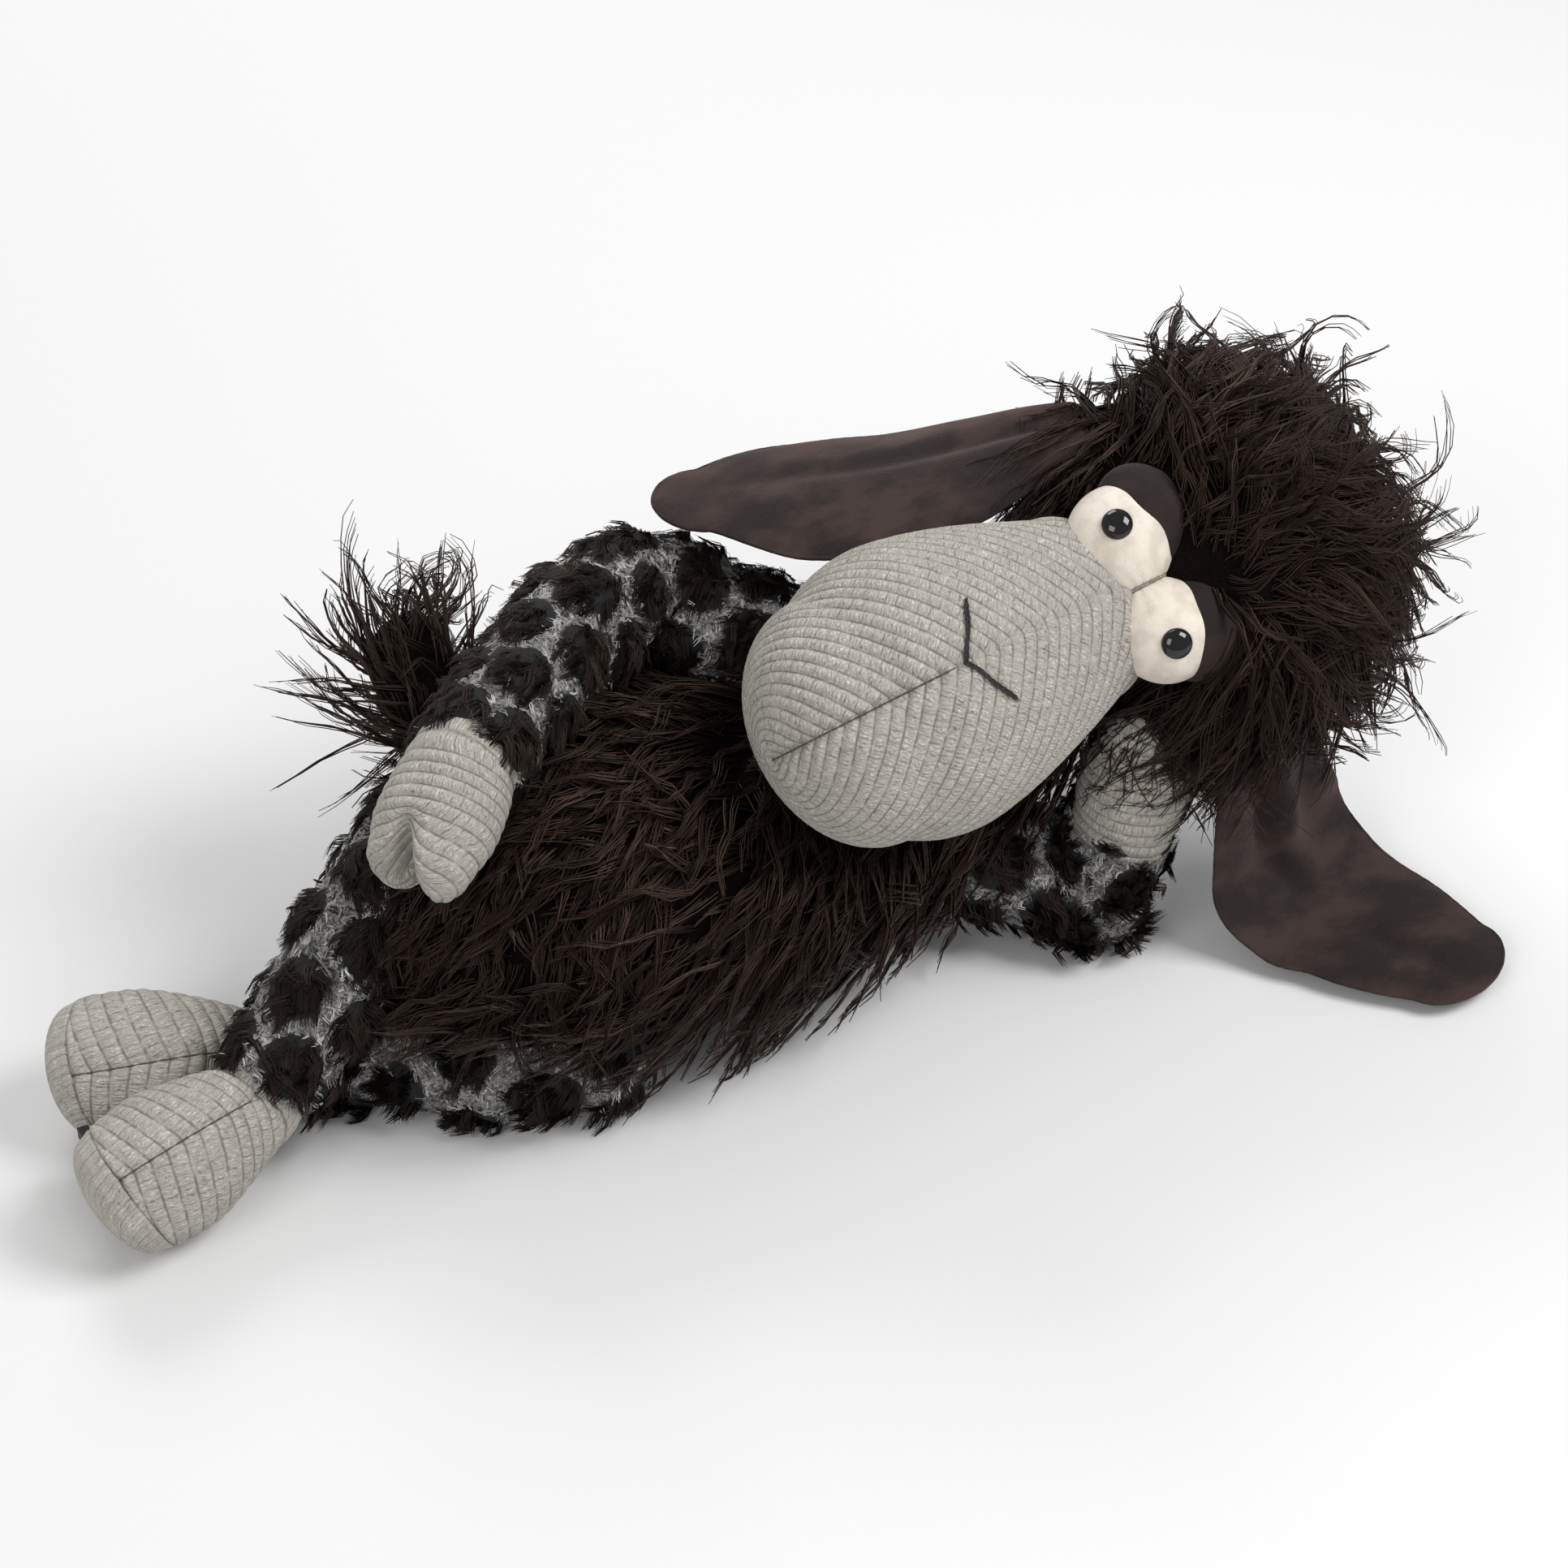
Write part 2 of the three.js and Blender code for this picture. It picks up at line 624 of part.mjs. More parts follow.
/** Knit muzzle, its stuffing and the stitched nose. */
function addMuzzle() {
  const faceCut = headBall(seamGap);
  add("muzzle_knit_cover", cut(muzzleForm.solid(), muzzleForm.solid(-knitWall), faceCut), colours.knit);
  add("muzzle_stuffing", cut(muzzleForm.core(-knitWall - seamGap), faceCut), colours.stuffing);
  const lift = noseThread / 2;
  const front = muzzleForm.section(noseShares.point).up.dot(rearward) > 0 ? -90 : 90;
  const places = [1, 0.5, 0, -0.5, -1].map((bend) => {
    const share = THREE.MathUtils.lerp(noseShares.point, noseShares.start, Math.abs(bend));
    return muzzleForm.surface(share, front + bend * noseShares.spread, lift);
  });
  const nose = new Form(
    places.map((at) => ({ at, wide: noseThread, tall: noseThread })),
    muzzleAlong.clone().add(rightward),
    { sides: 6, steps: 10, startRound: lift, endRound: lift },
  );
  add("nose_stitch", cut(nose.solid(), muzzleForm.solid(seamGap)), colours.thread);
}

/** One eye: a stuffed pad with its pupil, stem and washer, and the lid behind it. */
function addEye(name, sign) {
  const padSizes = new THREE.Vector3(eye.padLength, eye.padDepth, eye.padWidth);
  const padPlace = onHead(-eye.below, -eye.forward, sign * (eye.padWidth / 2 + seamGap / 2));
  const pad = (grow) => ball(padSizes, padPlace, grow, headTurn, ballSides);
  const out = new THREE.Vector3(0, -1, 0).applyQuaternion(headTurn);
  const offset = eye.pupilSpread - eye.padWidth / 2;
  const rise = Math.sqrt(1 - (offset / (eye.padWidth / 2)) ** 2) * (eye.padDepth / 2);
  const normal = out.clone().multiplyScalar(rise / (eye.padDepth / 2) ** 2)
    .addScaledVector(rightward, (sign * offset) / (eye.padWidth / 2) ** 2).normalize();
  const rim = beyond(beyond(padPlace, rightward, sign * offset), out, rise - eye.pupilSink);
  const turn = new THREE.Quaternion().setFromUnitVectors(Y, normal);
  const turned = (profile, grow = 0) => {
    const geometry = new THREE.LatheGeometry(profile.map((p) => new THREE.Vector2(p[0] + (p[0] > 0 ? grow : 0), p[1])), limbSides);
    geometry.applyQuaternion(turn);
    geometry.translate(rim.x, rim.y, rim.z);
    return geometry;
  };
  const r = eye.pupil / 2;
  const stemRadius = eye.stem / 2;
  const dome = Array.from({ length: 4 }, (_, i) => {
    const angle = (Math.PI / 2) * (i / 4);
    return [r * Math.cos(angle), eye.pupilHeight * Math.sin(angle)];
  });
  const stemProfile = [[0, -eye.stemLength], [stemRadius, -eye.stemLength], [stemRadius, -seamGap]];
  const pupil = turned([...stemProfile, [r, -seamGap], ...dome, [0, eye.pupilHeight]]);
  const seat = turned([[0, -eye.stemLength - seamGap], [stemRadius, -eye.stemLength - seamGap],
    [stemRadius, -2 * seamGap], [r, -2 * seamGap], [r, eye.pupilHeight], [0, eye.pupilHeight]], seamGap);
  const washerTop = -eye.stemLength * eye.washerShare;
  const washerFoot = washerTop - eye.washerThickness;
  const outer = eye.washer / 2;
  const bore = stemRadius + seamGap;
  const washer = turned([[bore, washerFoot], [outer, washerFoot], [outer, washerTop], [bore, washerTop], [bore, washerFoot]]);
  const pocket = turned([[0, -eye.padDepth], [outer, -eye.padDepth], [outer, washerTop + seamGap], [0, washerTop + seamGap]], seamGap);
  const muzzleCut = muzzleForm.solid(seamGap);
  const faceCut = headBall(seamGap);
  add(`eye_pad_${name}`, cut(pad(0), faceCut, muzzleCut, seat, pocket), colours.eyeVelour);
  add(`pupil_${name}`, pupil, colours.gloss, 0.1);
  add(`eye_washer_${name}`, washer, colours.washer, 0.5);
  const lidSizes = new THREE.Vector3(eye.lidLength, eye.lidDepth, eye.lidWidth);
  const lidPlace = onHead(-eye.lidBelow, -eye.lidForward, sign * (eye.lidWidth / 2 + seamGap / 2));
  const lid = ball(lidSizes, lidPlace, 0, headTurn, ballSides);
  add(`eyelid_${name}`, cut(lid, faceCut, muzzleCut, pad(seamGap)), colours.velour);
}

/** An ear of two layers of velour, from its stations. */
function addEar(name, stations, side) {
  const form = new Form(stations, side, {
    sides: limbSides, steps: 7, startRound: ear.thickness / 2, endRound: ear.tipRound,
  });
  const outer = form.solid(0, 1);
  add(`ear_${name}_outer`, outer, colours.velour);
  add(`ear_${name}_lining`, cut(form.solid(0, -1), outer), colours.velour);
}

/** Stations of an ear from the places along it. */
function earStations(places) {
  return earShares.map((s, i) => ({ at: places[i], wide: ear.width * s.width, tall: ear.thickness * s.thickness }));
}

const earReach = ear.length - ear.tipRound;

/** The right ear lies back over the shoulder. */
function addRightEar() {
  const root = onHead(-ear.below, -ear.forward, rightEarLie.seat + ear.thickness / 2);
  const direction = heading(rightEarLie.yaw, rightEarLie.pitch);
  const places = earShares.map((s) => {
    const rise = rightEarLie.lift * s.along - rightEarLie.sag * Math.sin(Math.PI * s.along);
    return beyond(beyond(root, direction, earReach * s.along), Z, rise);
  });
  const axis = new THREE.Vector3(direction.y, -direction.x, 0).normalize();
  addEar("right", earStations(places), axis);
  return { root, axis };
}

/** The left ear hangs to the floor and lies out along it. */
function addLeftEar() {
  const root = onHead(-ear.below / 2, -ear.forward / 2, -leftEarLie.seat - ear.thickness / 2);
  const floorHeight = ear.thickness / 2 + 3 * seamGap;
  const outward = heading(leftEarLie.yaw, 0);
  const drop = root.z - floorHeight;
  const places = earShares.map((s) => {
    const fallen = Math.min(1, s.along / leftEarLie.fallShare);
    const lying = Math.max(0, s.along - leftEarLie.lieShare) * earReach;
    const lean = leftEarLie.leanShare * drop * fallen;
    const height = -drop * Math.sin((Math.PI / 2) * fallen);
    return beyond(beyond(beyond(root, Z, height), heading(leftEarLie.leanYaw, 0), lean), outward, lying);
  });
  const axis = new THREE.Vector3(outward.y, -outward.x, 0).normalize();
  addEar("left", earStations(places), axis);
  return { root, axis };
}

/** The right arm: sleeve, knit hoof and one stuffing core through both. */
function addRightArm() {
  const sleeve = rightSleeveForm.shell(plushWall, "end");
  add("right_arm_sleeve", sleeve, colours.sleeve);
  add("right_hoof_cover", rightHoof.cover, colours.knit);
  add("right_arm_stuffing", join(sleeveCore(rightSleeveForm), rightHoof.core), colours.stuffing);
}

/** The stuffing of a sleeve, rounded into the hoof or foot beyond it. */
function sleeveCore(form) {
  return form.variant({ endRound: arm.wrist / 4 }).core(-plushWall - seamGap);
}

/** The left arm, in two stretches that fold at the elbow on the floor. */
function addLeftArm() {
  const upper = leftUpperForm.shell(plushWall, "end");
  const foldRoom = [elbowBall(elbowRoom), leftForeForm.room(seamGap)];
  add("left_upper_arm_sleeve", cut(upper, foldRoom, floorUnder(upper)), colours.sleeve);
  const upperCore = leftUpperForm.core(-plushWall - seamGap);
  add("left_upper_arm_stuffing", cut(upperCore, foldRoom), colours.stuffing);
  const fore = leftForeForm.shell(plushWall, "end");
  add("left_forearm_sleeve", cut(fore, floorUnder(fore)), colours.sleeve);
  add("left_hoof_cover", leftHoof.cover, colours.knit);
  add("left_forearm_stuffing", join(sleeveCore(leftForeForm), leftHoof.core), colours.stuffing);
}

/** One leg: sleeve, knit foot, sole and stuffing. */
function addLeg(name, sleeveForm, form, others) {
  const sleeve = sleeveForm.shell(plushWall, "end");
  add(`${name}_leg_sleeve`, cut(sleeve, floorUnder(sleeve), others), colours.sleeve);
  const upper = form.shell(knitWall, "both");
  add(`${name}_foot_cover`, cut(upper, floorUnder(upper), others), colours.knit);
  const core = join(sleeveCore(sleeveForm), form.variant({ endRound: 0 }).core(-knitWall - seamGap));
  add(`${name}_leg_stuffing`, cut(core, others), colours.stuffing);
  const rim = form.section(1);
  const start = beyond(rim.centre, rim.along, seamGap);
  const sole = new Form(
    stretch(start, beyond(start, rim.along, leg.sole), 2 * rim.wide, 2 * rim.wide, 2, 2 * rim.tall, 2 * rim.tall),
    Y,
    { sides: ballSides, steps: 1, endRound: leg.soleRound },
  );
  add(`${name}_sole`, cut(sole.solid(), floorUnder(sole.solid()), others), colours.knit);
}

/** A small blank cloth tab that stands out of the right sole's seam. */
function addTab() {
  const place = rightFootForm.surface(1, 0, tab.length / 2 + seamGap);
  const geometry = new THREE.BoxGeometry(tab.thickness, tab.length, tab.width);
  const rim = rightFootForm.section(1);
  geometry.applyQuaternion(new THREE.Quaternion().setFromRotationMatrix(
    new THREE.Matrix4().makeBasis(rim.along, rim.across, rim.up),
  ));
  geometry.translate(place.x, place.y, place.z);
  add("seam_tab", geometry, colours.thread);
}

addTorso();
addTail();
addHead();
addMuzzle();
addEye("right", 1);
addEye("left", -1);
const rightEarHinge = addRightEar();
const leftEarHinge = addLeftEar();
addRightArm();
addLeftArm();
const crossingRoom = sweep(rightLegForm.room(seamGap), rightHip, Z, rightLegTurn, 3);
addLeg("right", rightLegForm, rightFootForm, []);
addLeg("left", leftLegForm, leftFootForm, crossingRoom);
addTab();

sheep.userData.hinges = {
  neck_nod: { pivot: neckPivot, axis: Z },
  right_ear_flap: { pivot: rightEarHinge.root, axis: rightEarHinge.axis },
  left_ear_flap: { pivot: leftEarHinge.root, axis: leftEarHinge.axis },
  right_arm_turn: { pivot: rightShoulder, axis: rightArmAxis },
  left_arm_swing: { pivot: leftShoulder, axis: Z },
  left_forearm_fold: { pivot: leftElbow, axis: X },
  right_leg_swing: { pivot: rightHip, axis: Z },
  left_leg_swing: { pivot: leftHip, axis: Z },
  tail_lift: { pivot: tailRoot, axis: tailAxis },
};

export default sheep;
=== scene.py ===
"""Dresses the stuffed sheep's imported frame: shaggy coat, knit, dotted plush, velour ears and eyes."""
import logging
import math
from abc import ABC, abstractmethod
from collections.abc import Callable, Sequence
from dataclasses import dataclass, field
from enum import Enum

import bmesh
import bpy
import numpy as np
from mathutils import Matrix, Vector


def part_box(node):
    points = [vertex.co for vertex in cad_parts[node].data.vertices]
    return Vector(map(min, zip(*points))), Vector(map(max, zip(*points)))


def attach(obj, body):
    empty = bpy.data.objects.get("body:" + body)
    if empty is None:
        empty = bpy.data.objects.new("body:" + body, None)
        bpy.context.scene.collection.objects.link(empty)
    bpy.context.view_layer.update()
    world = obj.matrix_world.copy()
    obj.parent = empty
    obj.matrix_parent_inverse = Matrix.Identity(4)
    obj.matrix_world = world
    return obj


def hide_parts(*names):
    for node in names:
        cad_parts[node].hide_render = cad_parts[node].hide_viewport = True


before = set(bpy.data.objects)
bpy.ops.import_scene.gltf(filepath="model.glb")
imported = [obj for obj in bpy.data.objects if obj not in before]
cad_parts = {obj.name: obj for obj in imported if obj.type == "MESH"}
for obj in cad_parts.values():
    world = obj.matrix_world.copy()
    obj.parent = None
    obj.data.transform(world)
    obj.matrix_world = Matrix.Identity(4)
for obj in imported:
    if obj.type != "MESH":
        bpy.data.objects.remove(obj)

log = logging.getLogger("sheep")

MM = 0.001
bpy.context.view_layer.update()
SEED = 20481
DOWN = np.array((0.0, 0.0, -1.0))
FLOOR_GAP = 0.4
# how far dressing may reach, a little inside the frame's own allowance, in millimetres
REACH_LOW = np.array((-218.0, -128.0, FLOOR_GAP))
REACH_HIGH = np.array((250.0, 93.0, 181.0))
# samples of a form's rounded end, of which the last is the first station's own
POLE_SAMPLES = 24
# how many points are compared with a form at once
BATCH = 40000
# how far roots sink into their own skin, and how far strands keep off skins, in millimetres
ROOT_SINK = 1.2
OWN_GAP = 0.5
OTHER_GAP = 0.6
# where the eyes sit in the head's frame: towards the crown and rearward, in millimetres
EYE_CROWN = -26.0
EYE_REAR = -37.0
EAR_HALF = 31.0


def unit(ways: np.ndarray) -> np.ndarray:
    """Returns the vectors at length one."""
    return ways / np.maximum(np.linalg.norm(ways, axis=-1, keepdims=True), 1e-9)


def linear(red: int, green: int, blue: int) -> tuple[float, float, float, float]:
    """Turns a colour as a screen shows it into the light that a shader takes.

    Args:
        red: Red, 0 to 255.
        green: Green, 0 to 255.
        blue: Blue, 0 to 255.

    Returns:
        The linear colour with full alpha.
    """
    parts = (value / 255 for value in (red, green, blue))
    return (*(p / 12.92 if p <= 0.04045 else ((p + 0.055) / 1.055) ** 2.4 for p in parts), 1.0)


class Socket:
    """A value in a shader. Arithmetic on it adds Math nodes."""

    def __init__(self, tree: bpy.types.NodeTree, link: bpy.types.NodeSocket) -> None:
        """Wraps an output socket of the tree."""
        self.tree = tree
        self.link = link

    def maths(self, operation: str, *values: "Socket | float") -> "Socket":
        """Adds one Math node.

        Args:
            operation: The node's operation.
            values: Its inputs in order, numbers or sockets.

        Returns:
            The node's result.
        """
        node = self.tree.nodes.new("ShaderNodeMath")
        node.operation = operation
        for index, value in enumerate(values):
            if isinstance(value, Socket):
                self.tree.links.new(value.link, node.inputs[index])
            else:
                node.inputs[index].default_value = value
        return Socket(self.tree, node.outputs[0])

    def __add__(self, other: "Socket | float") -> "Socket":
        """Sum."""
        return self.maths("ADD", self, other)

    def __radd__(self, other: float) -> "Socket":
        """Sum with a number on the left."""
        return self.maths("ADD", other, self)

    def __sub__(self, other: "Socket | float") -> "Socket":
        """Difference."""
        return self.maths("SUBTRACT", self, other)

    def __rsub__(self, other: float) -> "Socket":
        """Difference from a number on the left."""
        return self.maths("SUBTRACT", other, self)

    def __mul__(self, other: "Socket | float") -> "Socket":
        """Product."""
        return self.maths("MULTIPLY", self, other)

    def __rmul__(self, other: float) -> "Socket":
        """Product with a number on the left."""
        return self.maths("MULTIPLY", other, self)

    def __pow__(self, other: float) -> "Socket":
        """Power."""
        return self.maths("POWER", self, other)

    def wave(self, turn: float = 0.0) -> "Socket":
        """Returns the sine of pi times this value plus turn, without its sign."""
        return self.maths("ABSOLUTE", self.maths("SINE", (self + turn) * math.pi))

    def step(self, low: float, high: float) -> "Socket":
        """Returns 0 below low, 1 above high and a smooth change between."""
        node = self.tree.nodes.new("ShaderNodeMapRange")
        node.interpolation_type = "SMOOTHSTEP"
        self.tree.links.new(self.link, node.inputs["Value"])
        node.inputs["From Min"].default_value = low
        node.inputs["From Max"].default_value = high
        return Socket(self.tree, node.outputs["Result"])


Colour = tuple[float, float, float, float]


class Recipe:
    """One finish being mixed: its material, its shader and the nodes that feed it."""

    def __init__(self, name: str) -> None:
        """Starts an empty material of that name."""
        self.material = bpy.data.materials.new(name)
        self.material.use_nodes = True
        self.tree = self.material.node_tree
        self.shader = self.tree.nodes["Principled BSDF"]

    def feed(self, socket: bpy.types.NodeSocket, value: "Socket | float | Sequence[float]") -> None:
        """Links or sets one input socket."""
        if isinstance(value, Socket):
            self.tree.links.new(value.link, socket)
        else:
            socket.default_value = value

    def node(
        self,
        kind: str,
        settings: dict[str, object] | None = None,
        sockets: dict[str | int, object] | None = None,
        output: str | int = 0,
    ) -> Socket:
        """Adds one node of any type.

        Args:
            kind: The node's type.
            settings: Its own settings, set first. "stops" gives a colour ramp's places and colours.
            sockets: Values or links of its inputs.
            output: The output to return.

        Returns:
            The chosen output.
        """
        node = self.tree.nodes.new(kind)
        for key, value in (settings or {}).items():
            if key != "stops":
                setattr(node, key, value)
                continue
            stops = node.color_ramp.elements
            while len(stops) < len(value):
                stops.new(0.5)
            for stop, (place, colour) in zip(stops, value):
                stop.position = place
                stop.color = colour
        for key, value in (sockets or {}).items():
            self.feed(node.inputs[key], value)
        return Socket(self.tree, node.outputs[output])

    def places(self) -> Socket:
        """Returns the point's place on its object, in metres."""
        return self.node("ShaderNodeTexCoord", output="Object")

    def attribute(self, name: str) -> Socket:
        """Returns a number kept on the mesh's points."""
        return self.node("ShaderNodeAttribute", {"attribute_name": name}, output="Fac")

    def noise(self, size: float, detail: float = 2.0, rough: float = 0.5, vector: Socket | None = None) -> Socket:
        """Adds a cloudy noise.

        Args:
            size: The size of its blobs in millimetres.
            detail: How many finer layers it has.
            rough: How strong the finer layers are.
            vector: Where it is read, or the object's own places.

        Returns:
            A value about 0.5.
        """
        sockets = {
            "Vector": vector or self.places(), "Scale": 1 / (size * MM), "Detail": detail, "Roughness": rough,
        }
        return self.node("ShaderNodeTexNoise", {"noise_dimensions": "3D"}, sockets)

    def stretched(self, scale: tuple[float, float, float]) -> Socket:
        """Returns the object's places, stretched by the scale on each axis."""
        return self.node("ShaderNodeMapping", {}, {"Vector": self.places(), "Scale": scale})

    def blend(self, mask: "Socket | float", low: "Socket | Colour", high: "Socket | Colour") -> Socket:
        """Mixes two colours.

        Args:
            mask: 0 gives low and 1 gives high.
            low: The first colour.
            high: The second colour.

        Returns:
            The mixed colour.
        """
        sockets = {"Factor": mask, 6: low, 7: high}
        return self.node("ShaderNodeMix", {"data_type": "RGBA"}, sockets, output=2)

    def relief(self, height: Socket, depth: float, strength: float = 1.0) -> Socket:
        """Turns a height of 0 to 1 into a bump of that depth in millimetres."""
        return self.node("ShaderNodeBump", {}, {"Height": height, "Distance": depth * MM, "Strength": strength})

    def dress(self, **sockets: object) -> bpy.types.Material:
        """Feeds the shader's sockets, named with _ for spaces, and returns the material."""
        for key, value in sockets.items():
            self.feed(self.shader.inputs[key.replace("_", " ")], value)
        return self.material


class Slot(Enum):
    """The record's material slots."""

    FUR = "shaggy_fur"
    PLUSH = "dotted_plush"
    KNIT = "rib_knit"
    EAR = "ear_velour"
    EYE = "eye_velour"
    PUPIL = "pupil_gloss"
    THREAD = "nose_thread"
    STUFFING = "stuffing"
    COTTON = "pellet_cotton"
    PLASTIC = "washer_plastic"


@dataclass(frozen=True)
class ShaggyFur:
    """Black coat: long locks with a brown sheen where the light catches their middle."""

    root: Colour = linear(6, 5, 5)
    # brown of the painted highlight that the near-black strands are mixed towards
    tip: Colour = linear(78, 61, 54)

    def strands(self) -> bpy.types.Material:
        """Returns the finish of the single strands."""
        recipe = Recipe("shaggy_fur_strands")
        along = recipe.attribute("along")
        tone = recipe.attribute("tone")
        patch = recipe.noise(14, 2).step(0.35, 0.7)
        # painted brown highlight: the mix towards the tip colour grows towards the tips and on lighter locks, and patch
        # varies it at random
        shade = (along * 0.18 + tone ** 3.0 * 0.72) * (patch * 0.5 + 0.4)
        colour = recipe.blend(shade, self.root, self.tip)
        return recipe.dress(
            Base_Color=colour, Roughness=tone * 0.14 + 0.34, Specular_IOR_Level=0.4,
            Specular_Tint=linear(235, 200, 180),
        )

    def backing(self) -> bpy.types.Material:
        """Returns the finish of the skin that the strands grow from."""
        recipe = Recipe("shaggy_fur_backing")
        fine = recipe.noise(1.1, 3, 0.6, recipe.stretched((0.35, 1.0, 1.0)))
        patch = recipe.noise(9, 2)
        colour = recipe.blend(fine * patch, linear(6, 4, 4), linear(30, 22, 19))
        return recipe.dress(
            Base_Color=colour, Roughness=0.95, Specular_IOR_Level=0.05, Normal=recipe.relief(fine, 1.6),
        )


@dataclass(frozen=True)
class DottedPlush:
    """Curly grey melange plush with fluffy black discs."""

    dark: Colour = linear(62, 61, 61)
    light: Colour = linear(214, 212, 209)
    disc: Colour = linear(5, 5, 5)

    def curls(self) -> bpy.types.Material:
        """Returns the finish of the short grey curls."""
        recipe = Recipe("dotted_plush_curls")
        tone = recipe.attribute("tone")
        grey = recipe.blend(tone ** 1.3 * 0.85 + recipe.attribute("along") * 0.15, self.dark, self.light)
        return recipe.dress(
            Base_Color=grey, Roughness=0.7, Specular_IOR_Level=0.3, Sheen_Weight=0.1, Sheen_Roughness=0.5,
        )

    def tufts(self) -> bpy.types.Material:
        """Returns the finish of the black fluff on the discs."""
        recipe = Recipe("dotted_plush_tufts")
        glint = recipe.attribute("tone") ** 2.0 * recipe.attribute("along")
        black = recipe.blend(glint, self.disc, linear(50, 41, 37))
        return recipe.dress(
            Base_Color=black, Roughness=0.6, Specular_IOR_Level=0.3, Specular_Tint=linear(225, 200, 185),
        )

    def backing(self) -> bpy.types.Material:
        """Returns the finish of the cloth below the pile."""
        recipe = Recipe("dotted_plush_backing")
        disc = 1 - recipe.attribute("dot").step(-1.0, 1.0)
        fleck = recipe.noise(0.9, 3, 0.65)
        curl = recipe.noise(2.2, 2, 0.6)
        grey = recipe.blend(fleck.step(0.4, 0.62), self.dark, linear(150, 148, 146))
        return recipe.dress(
            Base_Color=recipe.blend(disc, grey, self.disc), Roughness=0.85, Normal=recipe.relief(curl, 1.5),
        )


@dataclass(frozen=True)
class RibKnit:
    """Warm grey melange rib knit: real ribs in the mesh, stitches and flecks in the shader, and painted shade in the
    grooves between ribs and the gaps between stitches.
    """

    dark: Colour = linear(106, 102, 96)
    body: Colour = linear(168, 164, 156)
    light: Colour = linear(216, 213, 205)

    def material(self) -> bpy.types.Material:
        """Returns the knit's finish, which reads the points' rib and stitch numbers."""
        recipe = Recipe("rib_knit")
        uneven = (recipe.noise(5.0, 2) - 0.5) * 0.5
        rib = recipe.attribute("rib") + uneven * 0.25
        stitch = recipe.attribute("stitch") + uneven
        row = rib.maths("FLOOR", rib)
        wale = (rib - row).wave()
        loop = (stitch + row * 0.37).wave()
        ply = (stitch * 2.7 + (recipe.noise(2.0, 2) - 0.5) * 2.2).wave()
        grid = recipe.node("ShaderNodeCombineXYZ", {}, {"X": rib * 2.4, "Y": stitch * 5.5})
        fibre = recipe.node("ShaderNodeTexNoise", {}, {"Vector": grid, "Scale": 1.0, "Detail": 3.0, "Roughness": 0.65})
        fleck = recipe.noise(1.1, 3, 0.7)
        cloud = recipe.noise(7.0, 2, 0.5)
        melange = recipe.node(
            "ShaderNodeValToRGB",
            {"stops": [(0.36, self.dark), (0.46, self.body), (0.53, self.body), (0.64, self.light)]},
            {"Fac": fleck * 0.4 + fibre * 0.45 + cloud * 0.15},
        )
        # painted shade: grooves between ribs and gaps between stitches and plies are darkened towards a shade colour,
        # more in some patches than others
        uneven_shade = recipe.noise(4.0, 2).step(0.3, 0.6)
        groove_shade = (1 - wale.step(0.0, 0.42)) * (uneven_shade * 0.5 + 0.2)
        gap = (1 - loop.step(0.0, 0.42)) * (uneven_shade * 0.34 + 0.06) + (1 - ply.step(0.0, 0.6)) * 0.14
        colour = recipe.blend(groove_shade + gap * (1 - groove_shade), melange, linear(88, 81, 74))
        height = wale ** 0.7 * 0.3 + wale * loop ** 0.6 * 0.25 + wale * ply * 0.25 + fibre * 0.2
        return recipe.dress(
            Base_Color=colour, Roughness=0.92, Specular_IOR_Level=0.2, Normal=recipe.relief(height, 1.2, 0.9),
            Sheen_Weight=0.12, Sheen_Roughness=0.6,
        )


@dataclass(frozen=True)
class EarVelour:
    """Brown-black velour with a soft pink-brown sheen painted into its colour in patches, as velour shows where its nap
    is brushed.
    """

    name: str = "ear_velour"
    nap: Colour = linear(17, 13, 13)
    # colour of the painted sheen patches
    painted_sheen: Colour = linear(64, 49, 46)

    def material(self) -> bpy.types.Material:
        """Returns the velour's finish."""
        recipe = Recipe(self.name)
        # stroke marks the patches of painted sheen
        stroke = recipe.noise(17, 4, 0.55, recipe.stretched((0.6, 1.0, 1.0))).step(0.4, 0.62)
        grain = recipe.noise(0.6, 2, 0.7)
        colour = recipe.blend(stroke * 0.62 + grain * 0.38, self.nap, self.painted_sheen)
        return recipe.dress(
            Base_Color=colour, Roughness=0.82, Specular_IOR_Level=0.3, Normal=recipe.relief(grain, 0.35),
            Sheen_Weight=0.22, Sheen_Roughness=0.35, Sheen_Tint=linear(205, 180, 172),
        )


@dataclass(frozen=True)
class EyeVelour:
    """Warm white velour of the eye pads."""

    pale: Colour = linear(236, 228, 214)
    shade: Colour = linear(205, 195, 180)

    def material(self) -> bpy.types.Material:
        """Returns the velour's finish."""
        recipe = Recipe("eye_velour")
        stroke = recipe.noise(6, 3, 0.5)
        grain = recipe.noise(0.35, 2, 0.7)
        colour = recipe.blend(stroke.step(0.3, 0.6) * 0.6 + grain * 0.4, self.shade, self.pale)
        return recipe.dress(
            Base_Color=colour, Roughness=0.88, Specular_IOR_Level=0.25, Normal=recipe.relief(grain, 0.3),
            Sheen_Weight=0.2, Sheen_Roughness=0.5,
        )


@dataclass(frozen=True)
class PupilGloss:
    """Glossy black plastic of the pupils."""

    def material(self) -> bpy.types.Material:
        """Returns the gloss, with faint handling marks in its roughness."""
        recipe = Recipe("pupil_gloss")
        marks = recipe.noise(2.5, 3).step(0.45, 0.8)
        colour = recipe.blend(marks, linear(6, 6, 7), linear(12, 11, 12))
        return recipe.dress(Base_Color=colour, Roughness=marks * 0.08 + 0.06, Specular_IOR_Level=0.6)


